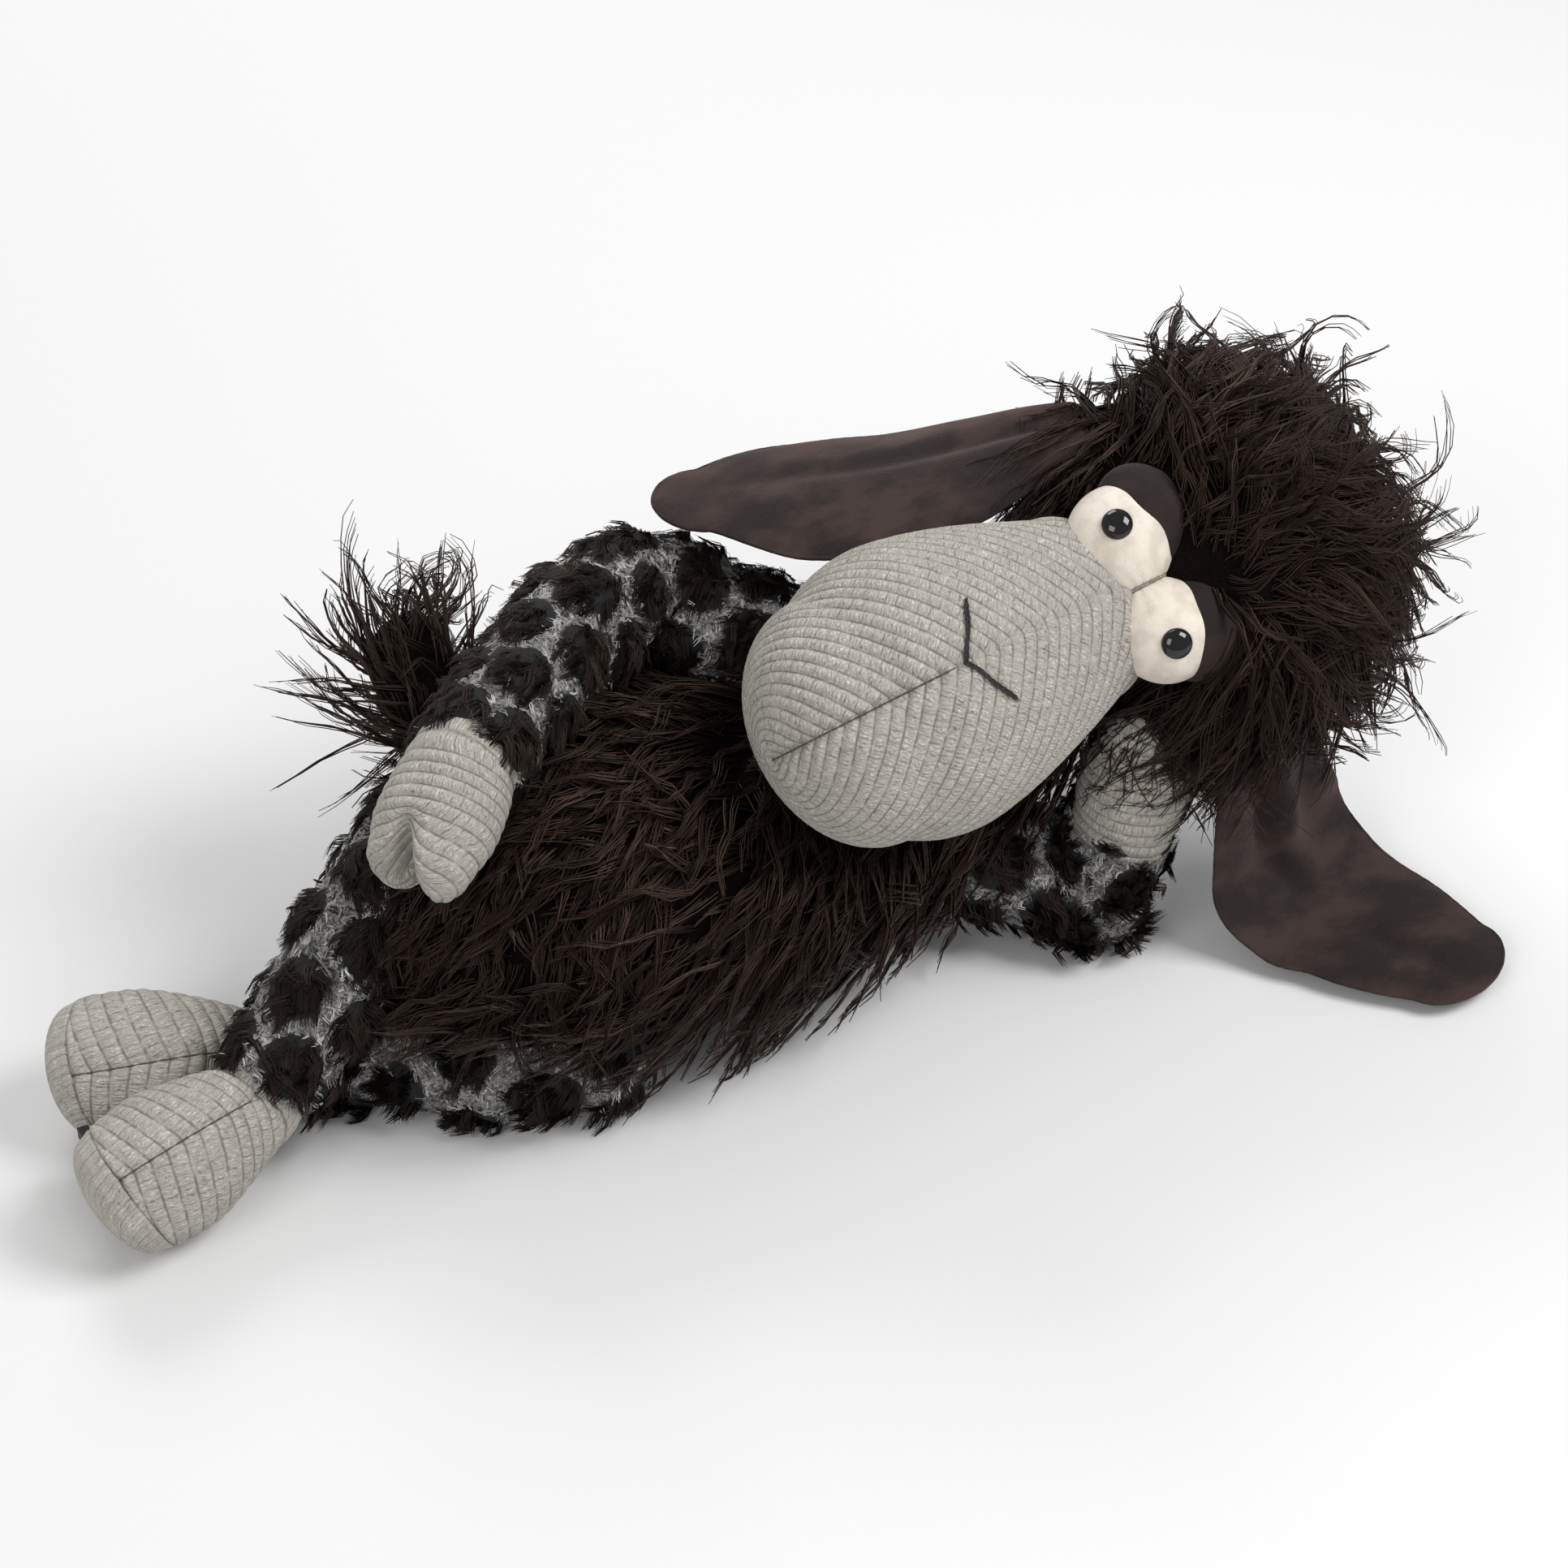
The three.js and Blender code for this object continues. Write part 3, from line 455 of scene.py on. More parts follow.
@dataclass(frozen=True)
class Thread:
    """Black sewing thread with the twist of its plies."""

    name: str = "nose_thread"
    dark: Colour = linear(12, 10, 10)
    light: Colour = linear(50, 44, 42)

    def material(self) -> bpy.types.Material:
        """Returns the thread's finish."""
        recipe = Recipe(self.name)
        twist = recipe.noise(0.6, 2, 0.6, recipe.stretched((1.0, 2.2, 0.7)))
        colour = recipe.blend(twist.step(0.4, 0.75), self.dark, self.light)
        return recipe.dress(Base_Color=colour, Roughness=0.6, Normal=recipe.relief(twist, 0.4))


@dataclass(frozen=True)
class Filling:
    """A finish inside the toy: fibre, cotton or plastic."""

    slot: Slot
    pale: Colour
    shade: Colour
    grain: float
    depth: float
    rough: float

    def material(self) -> bpy.types.Material:
        """Returns the finish, with its grain as colour and bump."""
        recipe = Recipe(self.slot.value)
        grain = recipe.noise(self.grain, 3, 0.6)
        colour = recipe.blend(grain.step(0.3, 0.7), self.shade, self.pale)
        return recipe.dress(Base_Color=colour, Roughness=self.rough, Normal=recipe.relief(grain, self.depth))


def read_points(data: bpy.types.Mesh) -> np.ndarray:
    """Returns a mesh's points as rows."""
    flat = np.empty(len(data.vertices) * 3)
    data.vertices.foreach_get("co", flat)
    return flat.reshape(-1, 3)


def read_corners(data: bpy.types.Mesh) -> tuple[np.ndarray, np.ndarray, np.ndarray]:
    """Returns the point at each corner of a mesh's faces, each face's first corner and its number of corners."""
    corner = np.empty(len(data.loops), np.int32)
    data.loops.foreach_get("vertex_index", corner)
    start, total = np.empty(len(data.polygons), np.int32), np.empty(len(data.polygons), np.int32)
    data.polygons.foreach_get("loop_start", start)
    data.polygons.foreach_get("loop_total", total)
    return corner, start, total


def write_points(data: bpy.types.Mesh, places: np.ndarray) -> None:
    """Moves a mesh's points to the places, given in millimetres."""
    data.vertices.foreach_set("co", (places * MM).ravel())
    data.update()


def keep_numbers(data: bpy.types.Mesh, name: str, values: np.ndarray) -> None:
    """Keeps one number on each point of a mesh."""
    data.attributes.new(name, "FLOAT", "POINT").data.foreach_set("value", values.astype(np.float32))


def link_mesh(name: str, data: bpy.types.Mesh) -> bpy.types.Object:
    """Puts a mesh in the scene, shaded smooth.

    Args:
        name: The piece's name.
        data: Its mesh.

    Returns:
        The piece's object.
    """
    data.polygons.foreach_set("use_smooth", np.ones(len(data.polygons), bool))
    piece = bpy.data.objects.new(name, data)
    bpy.context.scene.collection.objects.link(piece)
    return piece


def ball_mesh(name: str, columns: int, rings: int) -> bpy.types.Mesh:
    """Makes a ball of radius one, to be drawn out into a form, with its faces in the same order in each run.

    Args:
        name: The mesh's name.
        columns: Facets round its axis.
        rings: Facets from pole to pole.

    Returns:
        The mesh.
    """
    tilt = np.pi * np.arange(1, rings)[:, None] / rings
    turn = 2 * np.pi * np.arange(columns) / columns
    rows = np.stack((np.sin(tilt) * np.cos(turn), np.sin(tilt) * np.sin(turn), np.cos(tilt) + 0 * turn), -1)
    places = np.vstack(((0.0, 0.0, 1.0), rows.reshape(-1, 3), (0.0, 0.0, -1.0)))
    here = 1 + np.arange(columns * (rings - 1)).reshape(rings - 1, columns)
    beside, pole = np.roll(here, -1, axis=1), np.full(columns, len(places) - 1)
    bands = np.stack((here[:-1], here[1:], beside[1:], beside[:-1]), -1).reshape(-1, 4)
    caps = np.vstack((np.stack((0 * pole, here[0], beside[0]), -1), np.stack((pole, beside[-1], here[-1]), -1)))
    data = bpy.data.meshes.new(name)
    data.from_pydata(places.tolist(), [], caps.tolist() + bands.tolist())
    return data


@dataclass
class Skin:
    """A form's mesh with the numbers of its points: how far along, the turn from its front, and its girth there."""

    piece: bpy.types.Object
    places: np.ndarray
    along: np.ndarray
    turn: np.ndarray
    radius: np.ndarray

    @property
    def data(self) -> bpy.types.Mesh:
        """The mesh."""
        return self.piece.data

    def normals(self) -> np.ndarray:
        """Works out the points' normals, with the faces' shares summed in one fixed order."""
        corner, start, total = read_corners(self.data)
        face = np.repeat(np.arange(len(start)), total)
        here, first = np.arange(len(corner)), start[face]
        last = first + total[face] - 1
        place = self.places[corner]
        after = self.places[corner[np.where(here == last, first, here + 1)]]
        before = self.places[corner[np.where(here == first, last, here - 1)]]
        facing = unit(np.add.reduceat(np.cross(place, after), start))[face]
        angle = np.arccos(np.clip((unit(after - place) * unit(before - place)).sum(1), -1, 1))
        return unit(np.stack([np.bincount(corner, angle * facing[:, k], len(self.places)) for k in range(3)], -1))

    def shift(self, offsets: np.ndarray) -> None:
        """Moves every point along its normal by its offset in millimetres."""
        self.places = self.places + self.normals() * offsets[:, None]
        self.places[:, 2] = np.maximum(self.places[:, 2], FLOOR_GAP)
        write_points(self.data, self.places)

    def slide(self, way: np.ndarray, offsets: np.ndarray) -> None:
        """Moves every point one way by its offset in millimetres."""
        self.places = self.places + way * offsets[:, None]
        write_points(self.data, self.places)

    def scatter(self, count: int, rng: np.random.Generator, *numbers: np.ndarray) -> list[np.ndarray]:
        """Picks places on the mesh, evenly by area.

        Args:
            count: How many.
            rng: The random source.
            numbers: Numbers of the points, read at the picked places.

        Returns:
            The places, the normals there, and each of the numbers there.
        """
        corner, start, total = read_corners(self.data)
        fans = (start[:, None] + np.array((0, 1, 2)), start[total == 4][:, None] + np.array((0, 2, 3)))
        corners = corner[np.concatenate(fans)]
        edges = self.places[corners]
        area = np.linalg.norm(np.cross(edges[:, 1] - edges[:, 0], edges[:, 2] - edges[:, 0]), axis=1)
        picked = corners[rng.choice(len(corners), count, p=area / area.sum())]
        shares = rng.dirichlet((1, 1, 1), count)
        normals = self.normals()
        found = [np.einsum("nk,nkj->nj", shares, self.places[picked]),
                 unit(np.einsum("nk,nkj->nj", shares, normals[picked]))]
        return found + [np.einsum("nk,nk->n", shares, values[picked]) for values in numbers]


def catmull(rows: np.ndarray, count: int) -> np.ndarray:
    """Runs a smooth line through rows of numbers.

    Args:
        rows: The rows to pass through.
        count: How many rows to return.

    Returns:
        Rows spaced evenly between the given ones.
    """
    ends = np.vstack((2 * rows[0] - rows[1], rows, 2 * rows[-1] - rows[-2]))
    where = np.linspace(0, len(rows) - 1, count)
    at = np.minimum(where.astype(int), len(rows) - 2)
    t = (where - at)[:, None]
    a, b, c, d = ends[at], ends[at + 1], ends[at + 2], ends[at + 3]
    return 0.5 * (2 * b + (c - a) * t + (2 * a - 5 * b + 4 * c - d) * t ** 2 + (3 * b - a - 3 * c + d) * t ** 3)


class Form(ABC):
    """A stuffed form that other pieces keep clear of."""

    @abstractmethod
    def clear(self, places: np.ndarray, gap: np.ndarray | float) -> np.ndarray:
        """Pushes points that lie inside the form out to its surface."""

    def holds(self, places: np.ndarray, gap: float) -> np.ndarray:
        """Tells which points lie inside the form or nearer to it than the gap."""
        return np.linalg.norm(self.clear(places, gap) - places, axis=1) > 1e-6


@dataclass
class StuffedForm(Form):
    """A stuffed tube with rounded ends, drawn through stations of centre, half width and half height in millimetres."""

    stations: Sequence[tuple[float, float, float, float, float]]
    side: tuple[float, float, float]
    start_round: float
    end_round: float
    swell: float = 0.0
    samples: int = 160
    end_way: tuple[float, float, float] | None = None
    places: np.ndarray = field(init=False)
    tangents: np.ndarray = field(init=False)
    across: np.ndarray = field(init=False)
    upward: np.ndarray = field(init=False)
    halves: np.ndarray = field(init=False)
    profile: np.ndarray = field(init=False)

    def __post_init__(self) -> None:
        """Works out the line, its cross axes and its half sizes from pole to pole."""
        rows = catmull(np.array(self.stations, float), self.samples)
        centres, halves = rows[:, :3], rows[:, 3:] + self.swell
        tangents = unit(np.gradient(centres, axis=0))
        if self.end_way:
            turned = np.clip(np.linspace(-1.2, 1, self.samples), 0, 1)[:, None] ** 0.8
            tangents = unit(tangents * (1 - turned) + np.array(self.end_way) * turned)
        turns = np.linspace(0, math.pi / 2, POLE_SAMPLES)
        start, end = max(self.start_round, 2.0) + self.swell, max(self.end_round, 2.0) + self.swell
        first = centres[0] - np.outer(np.cos(turns) * start, tangents[0])
        last = centres[-1] + np.outer(np.sin(turns) * end, tangents[-1])
        self.places = np.vstack((first[:-1], centres, last[1:]))
        ends = POLE_SAMPLES - 1
        self.tangents = np.vstack((np.repeat(tangents[:1], ends, 0), tangents, np.repeat(tangents[-1:], ends, 0)))
        self.halves = np.vstack((
            np.outer(np.sin(turns), halves[0])[:-1], halves, np.outer(np.cos(turns), halves[-1])[1:],
        ))
        side = np.array(self.side, float)
        self.across = unit(side - self.tangents * (self.tangents @ side)[:, None])
        self.upward = np.cross(self.across, self.tangents)
        middle = self.halves.mean(1)
        travel = np.hypot(np.linalg.norm(np.diff(self.places, axis=0), axis=1), np.diff(middle))
        self.profile = np.concatenate(((0.0,), np.cumsum(travel)))

    def read(self, table: np.ndarray, distance: np.ndarray) -> np.ndarray:
        """Reads rows of the line's numbers at distances along its profile."""
        if table.ndim == 1:
            return np.interp(distance, self.profile, table)
        return np.stack([np.interp(distance, self.profile, table[:, k]) for k in range(table.shape[1])], -1)

    def mark(self, share: np.ndarray | float) -> np.ndarray:
        """Returns the profile distance of a share of the line between the first and last station."""
        where = POLE_SAMPLES - 1 + np.asarray(share) * (self.samples - 1)
        return np.interp(where, np.arange(len(self.profile)), self.profile)

    def surface(self, distance: np.ndarray, turn: np.ndarray, lift: float = 0.0) -> np.ndarray:
        """Finds places on the form.

        Args:
            distance: How far along the profile, in millimetres.
            turn: The turn round the line, from the side axis.
            lift: How far above the surface.

        Returns:
            The places.
        """
        halves = self.read(self.halves, distance) + lift
        across, upward = self.read(self.across, distance), self.read(self.upward, distance)
        return (self.read(self.places, distance)
                + across * (halves[..., 0] * np.cos(turn))[..., None]
                + upward * (halves[..., 1] * np.sin(turn))[..., None])

    def skin(self, name: str, columns: int, rings: int) -> Skin:
        """Makes the form's closed mesh.

        Args:
            name: The piece's name.
            columns: Facets round it.
            rings: Facets along it.

        Returns:
            The mesh with its points' numbers.
        """
        data = ball_mesh(name, columns, rings)
        ball = read_points(data)
        share = np.arccos(np.clip(ball[:, 2], -1, 1)) / math.pi
        turn = np.arctan2(ball[:, 1], ball[:, 0])
        distance = share * self.profile[-1]
        places = self.surface(distance, turn)
        places[:, 2] = np.maximum(places[:, 2], FLOOR_GAP)
        write_points(data, places)
        front = (turn - math.pi / 2 + math.pi) % (2 * math.pi) - math.pi
        radius = self.read(self.halves.mean(1), distance)
        return Skin(link_mesh(name, data), places, distance, front, radius)

    def clear(self, places: np.ndarray, gap: np.ndarray | float) -> np.ndarray:
        """Pushes points that lie inside the form out to its surface.

        Args:
            places: The points, as rows.
            gap: How far above the surface they end, one number or one for each.

        Returns:
            The points, moved where that was needed.
        """
        step = slice(None, None, 3)
        centres, halves = self.places[step], np.maximum(self.halves[step], 0.5)
        near = np.empty(len(places), int)
        for low in range(0, len(places), BATCH):
            part = places[low:low + BATCH]
            gaps = ((part[:, None, :] - centres[None]) ** 2).sum(-1)
            near[low:low + BATCH] = gaps.argmin(1)
        centre = centres[near]
        away = places - centre
        across, upward = self.across[step][near], self.upward[step][near]
        wide = (away * across).sum(1)
        tall = (away * upward).sum(1)
        room = halves[near] + np.reshape(gap, (-1, 1))
        reach = np.sqrt((wide / room[:, 0]) ** 2 + (tall / room[:, 1]) ** 2)
        reach = np.where((room <= 0).any(1), 9.0, reach)
        push = np.where(reach < 1, 1 / np.maximum(reach, 0.05) - 1, 0.0)
        return places + across * (wide * push)[:, None] + upward * (tall * push)[:, None]


@dataclass(frozen=True)
class HeadAxes:
    """The head's own frame: its centre in millimetres and its three directions."""

    centre: tuple[float, float, float] = (165.53, -5.83, 110.90)
    crown: tuple[float, float, float] = (0.9327, -0.1145, 0.3420)
    rearward: tuple[float, float, float] = (0.3206, 0.6975, -0.6409)
    rightward: tuple[float, float, float] = (-0.1652, 0.7074, 0.6872)

    def turn(self, local: np.ndarray) -> np.ndarray:
        """Turns directions from the head's frame to the row frame."""
        return local @ np.array((self.crown, self.rearward, self.rightward))

    def place(self, local: Sequence[float] | np.ndarray) -> np.ndarray:
        """Puts points of the head's frame in the row frame."""
        return np.array(self.centre) + self.turn(np.asarray(local, float))

    def within(self, places: np.ndarray) -> np.ndarray:
        """Puts points of the row frame in the head's frame."""
        return (places - np.array(self.centre)) @ np.array((self.crown, self.rearward, self.rightward)).T


HEAD = HeadAxes()


@dataclass
class StuffedBall(Form):
    """A stuffed ball on the head's axes: its centre and half sizes in the head's frame, in millimetres."""

    centre: tuple[float, float, float]
    halves: tuple[float, float, float]

    def skin(
        self, name: str, columns: int, rings: int, shape: Callable[[np.ndarray], np.ndarray] | None = None,
    ) -> Skin:
        """Makes the ball's mesh.

        Args:
            name: The piece's name.
            columns: Facets round it.
            rings: Facets from pole to pole.
            shape: Moves the points of the head's frame before they are placed.

        Returns:
            The mesh with its points' numbers.
        """
        data = ball_mesh(name, columns, rings)
        ball = read_points(data)
        local = np.array(self.centre) + ball * np.array(self.halves)
        if shape:
            local = shape(local)
        places = HEAD.place(local)
        places[:, 2] = np.maximum(places[:, 2], FLOOR_GAP)
        write_points(data, places)
        share = np.arccos(np.clip(ball[:, 2], -1, 1)) / math.pi
        turn = np.arctan2(ball[:, 1], ball[:, 0])
        size = float(np.mean(self.halves))
        return Skin(link_mesh(name, data), places, share * math.pi * size, turn, np.full(len(ball), size))

    def clear(self, places: np.ndarray, gap: np.ndarray | float) -> np.ndarray:
        """Pushes points that lie inside the ball out to its surface, as StuffedForm.clear does."""
        local = HEAD.within(places) - np.array(self.centre)
        room = np.array(self.halves) + np.reshape(gap, (-1, 1))
        reach = np.linalg.norm(local / room, axis=1)
        push = np.where(reach < 1, 1 / np.maximum(reach, 0.05) - 1, 0.0)
        return places + HEAD.turn(local * push[:, None])


@dataclass(frozen=True)
class LockStyle:
    """How locks grow. Lengths are in millimetres, lift in degrees, the rest are shares or counts; flat is a ribbon."""

    length: float
    uneven: float = 0.35
    lift: float = 28.0
    droop: float = 0.5
    sway: float = 0.25
    wave: float = 1.2
    cycles: float = 1.2
    thick: float = 0.62
    strands: int = 7
    patch: float = 3.2
    gather: float = 0.75
    points: int = 6
    frizz: float = 0.3
    flat: bool = False


def drift(places: np.ndarray, size: float, turn: float) -> np.ndarray:
    """Gives a smooth wandering direction.

    Args:
        places: Where it is read, in millimetres.
        size: The size of its swirls in millimetres.
        turn: Sets one pattern apart from another.

    Returns:
        A vector for each place, each part between -1 and 1.
    """
    x, y, z = (places / size).T
    return np.stack((
        np.sin(1.7 * y + 1.1 * z + turn) * np.cos(0.9 * x + turn),
        np.sin(1.3 * z + 1.9 * x + 2 * turn) * np.cos(1.1 * y - turn),
        np.sin(1.5 * x + 1.2 * y + 3 * turn) * np.cos(1.4 * z + turn),
    ), -1)


@dataclass
class Coat:
    """Strands of hair on a skin, made as tapered three-sided tubes or ribbons."""

    name: str
    style: LockStyle
    rng: np.random.Generator
    own: Form | None = None
    others: Sequence[Form] = ()

    def grow(
        self, roots: np.ndarray, normals: np.ndarray, flows: np.ndarray, longer: np.ndarray | float = 1.0,
    ) -> np.ndarray:
        """Grows one lock of strands from each root.

        Args:
            roots: Where the locks start, in millimetres.
            normals: Which way the skin faces there.
            flows: Which way the coat is combed there.
            longer: The share of the style's length, one number or one for each lock.

        Returns:
            The strands, as an array of strand, point and axis.
        """
        style, rng, count = self.style, self.rng, len(roots)
        share = np.linspace(0, 1, style.points)
        flows = unit(flows - normals * (flows * normals).sum(1, keepdims=True))
        side = np.cross(normals, flows)
        length = style.length * longer * (1 + style.uneven * rng.uniform(-1, 1, count))
        lift = np.radians(style.lift) * rng.uniform(0.4, 1.6, count)
        bend = rng.normal(0, style.sway, (count, 2))
        path = [roots]
        for s in share[1:]:
            sideways = bend[:, 0] + bend[:, 1] * math.sin(math.pi * 1.5 * s)
            way = (flows * np.cos(lift)[:, None] + normals * (np.sin(lift) * (1.05 - s))[:, None]
                   + side * sideways[:, None] + DOWN * style.droop * s)
            path.append(path[-1] + unit(way) * (length / (style.points - 1))[:, None])
        guide = np.stack(path, 1)
        spread = rng.normal(0, 0.6, (count, style.strands, 2)) * style.patch
        offset = side[:, None] * spread[..., :1] + flows[:, None] * spread[..., 1:]
        fan = 1 - style.gather * np.sin(share * math.pi / 2)
        strands = guide[:, None] + offset[:, :, None] * fan[:, None]
        phase = rng.uniform(0, 2 * math.pi, (count, 1, 1)) + rng.normal(0, style.frizz, (count, style.strands, 1))
        swing = style.wave * np.sqrt(share) * np.sin(2 * math.pi * style.cycles * share + phase)
        bob = 0.5 * style.wave * share * np.cos(2 * math.pi * style.cycles * 1.3 * share + 2 * phase)
        strands += side[:, None, None] * swing[..., None] + normals[:, None, None] * bob[..., None]
        trim = rng.uniform(0.75, 1.05, (count, style.strands, 1, 1))
        strands = strands[:, :, :1] + (strands - strands[:, :, :1]) * trim
        return self.settle(strands.reshape(-1, style.points, 3))

    def settle(self, strands: np.ndarray) -> np.ndarray:
        """Keeps strands out of the forms, above the floor and within the object's reach.

        Args:
            strands: The strands.

        Returns:
            The strands, moved.
        """
        count, points, _ = strands.shape
        flat = strands.reshape(-1, 3)
        gap = np.tile(np.concatenate(((-ROOT_SINK,), np.full(points - 1, OWN_GAP))), count)
        for form in self.others:
            flat = form.clear(flat, OTHER_GAP)
        if self.own:
            flat = self.own.clear(flat, gap)
        return np.clip(flat, REACH_LOW, REACH_HIGH).reshape(count, points, 3)

    def spin(self, strands: np.ndarray) -> bpy.types.Object:
        """Makes the strands' mesh, with a random tone for each strand that is near that of its lock, from which the fur
        and tuft finishes paint their glints.

        Args:
            strands: The strands, in millimetres.

        Returns:
            The piece.
        """
        count, points, _ = strands.shape
        sides = 2 if self.style.flat else 3
        ring = bpy.data.curves.new(self.name + "_ring", "CURVE")
        edge = ring.splines.new("POLY")
        edge.points.add(sides - 1)
        for k, point in enumerate(edge.points):
            angle = 2 * math.pi * k / sides
            point.co = (0.5 * MM * math.cos(angle), 0.5 * MM * math.sin(angle), 0, 1)
        edge.use_cyclic_u = not self.style.flat
        section = bpy.data.objects.new(self.name + "_section", ring)
        curve = bpy.data.curves.new(self.name + "_lines", "CURVE")
        curve.dimensions = "3D"
        curve.bevel_mode = "OBJECT"
        curve.bevel_object = section
        taper = np.linspace(1, 0.25, points) ** 0.8
        thick = self.style.thick * self.rng.uniform(0.75, 1.25, count)
        rows = np.concatenate((strands * MM, np.ones((count, points, 1))), -1)
        for row, width in zip(rows, thick):
            line = curve.splines.new("POLY")
            line.points.add(points - 1)
            line.points.foreach_set("co", row.ravel())
            line.points.foreach_set("radius", width * taper)
        bundle = bpy.data.objects.new(self.name + "_bundle", curve)
        bpy.context.scene.collection.objects.link(bundle)
        seen = bundle.evaluated_get(bpy.context.evaluated_depsgraph_get())
        data = bpy.data.meshes.new_from_object(seen)
        data.name = self.name
        for extra in (bundle, section):
            bpy.data.objects.remove(extra)
        for extra in (curve, ring):
            bpy.data.curves.remove(extra)
        locks = self.rng.uniform(0, 1, count // self.style.strands + 1)
        tones_and_glints = 0.7 * np.repeat(locks, self.style.strands)[:count] + 0.3 * self.rng.uniform(0, 1, count)
        keep_numbers(data, "along", np.tile(np.repeat(np.linspace(0, 1, points), sides), count))
        keep_numbers(data, "tone", np.repeat(tones_and_glints, points * sides))
        return link_mesh(self.name, data)


def tube(name: str, lines: Sequence[np.ndarray], radius: float, twist: float = 0.0) -> bpy.types.Object:
    """Makes closed tubes through lines of places, such as threads or a piped seam.

    Args:
        name: The piece's name.
        lines: The lines, in millimetres.
        radius: The tubes' radius in millimetres.
        twist: How deep the thread's plies show, as a share of the radius.

    Returns:
        The piece.
    """
    curve = bpy.data.curves.new(name, "CURVE")
    curve.dimensions = "3D"
    curve.bevel_depth = radius * MM
    curve.bevel_resolution = 2
    curve.use_fill_caps = True
    for places in lines:
        line = curve.splines.new("POLY")
        line.points.add(len(places) - 1)
        line.points.foreach_set("co", np.concatenate((places * MM, np.ones((len(places), 1))), -1).ravel())
        plies = 1 + twist * np.sin(np.arange(len(places)) * 1.9)
        ends = np.minimum(np.linspace(0.35, 12, len(places)), np.linspace(12, 0.35, len(places)))
        line.points.foreach_set("radius", plies * np.minimum(ends, 1))
    holder = bpy.data.objects.new(name + "_line", curve)
    bpy.context.scene.collection.objects.link(holder)
    data = bpy.data.meshes.new_from_object(holder.evaluated_get(bpy.context.evaluated_depsgraph_get()))
    data.name = name
    bpy.data.objects.remove(holder)
    bpy.data.curves.remove(curve)
    return link_mesh(name, data)


def seat(
    piece: bpy.types.Object,
    body: str,
    finishes: Sequence[bpy.types.Material],
    nodes: Sequence[str] = (),
) -> None:
    """Dresses a piece, hangs it on its body's empty and hides the solids that it stands for.

    Args:
        piece: The piece.
        body: The body that it rides on.
        finishes: Its materials, the first one on every face not set otherwise.
        nodes: The solids that it stands for.
    """
    for finish in finishes:
        piece.data.materials.append(finish)
    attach(piece, body)
    if nodes:
        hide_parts(*nodes)
    log.info("%s: %d faces on %s", piece.name, len(piece.data.polygons), body)


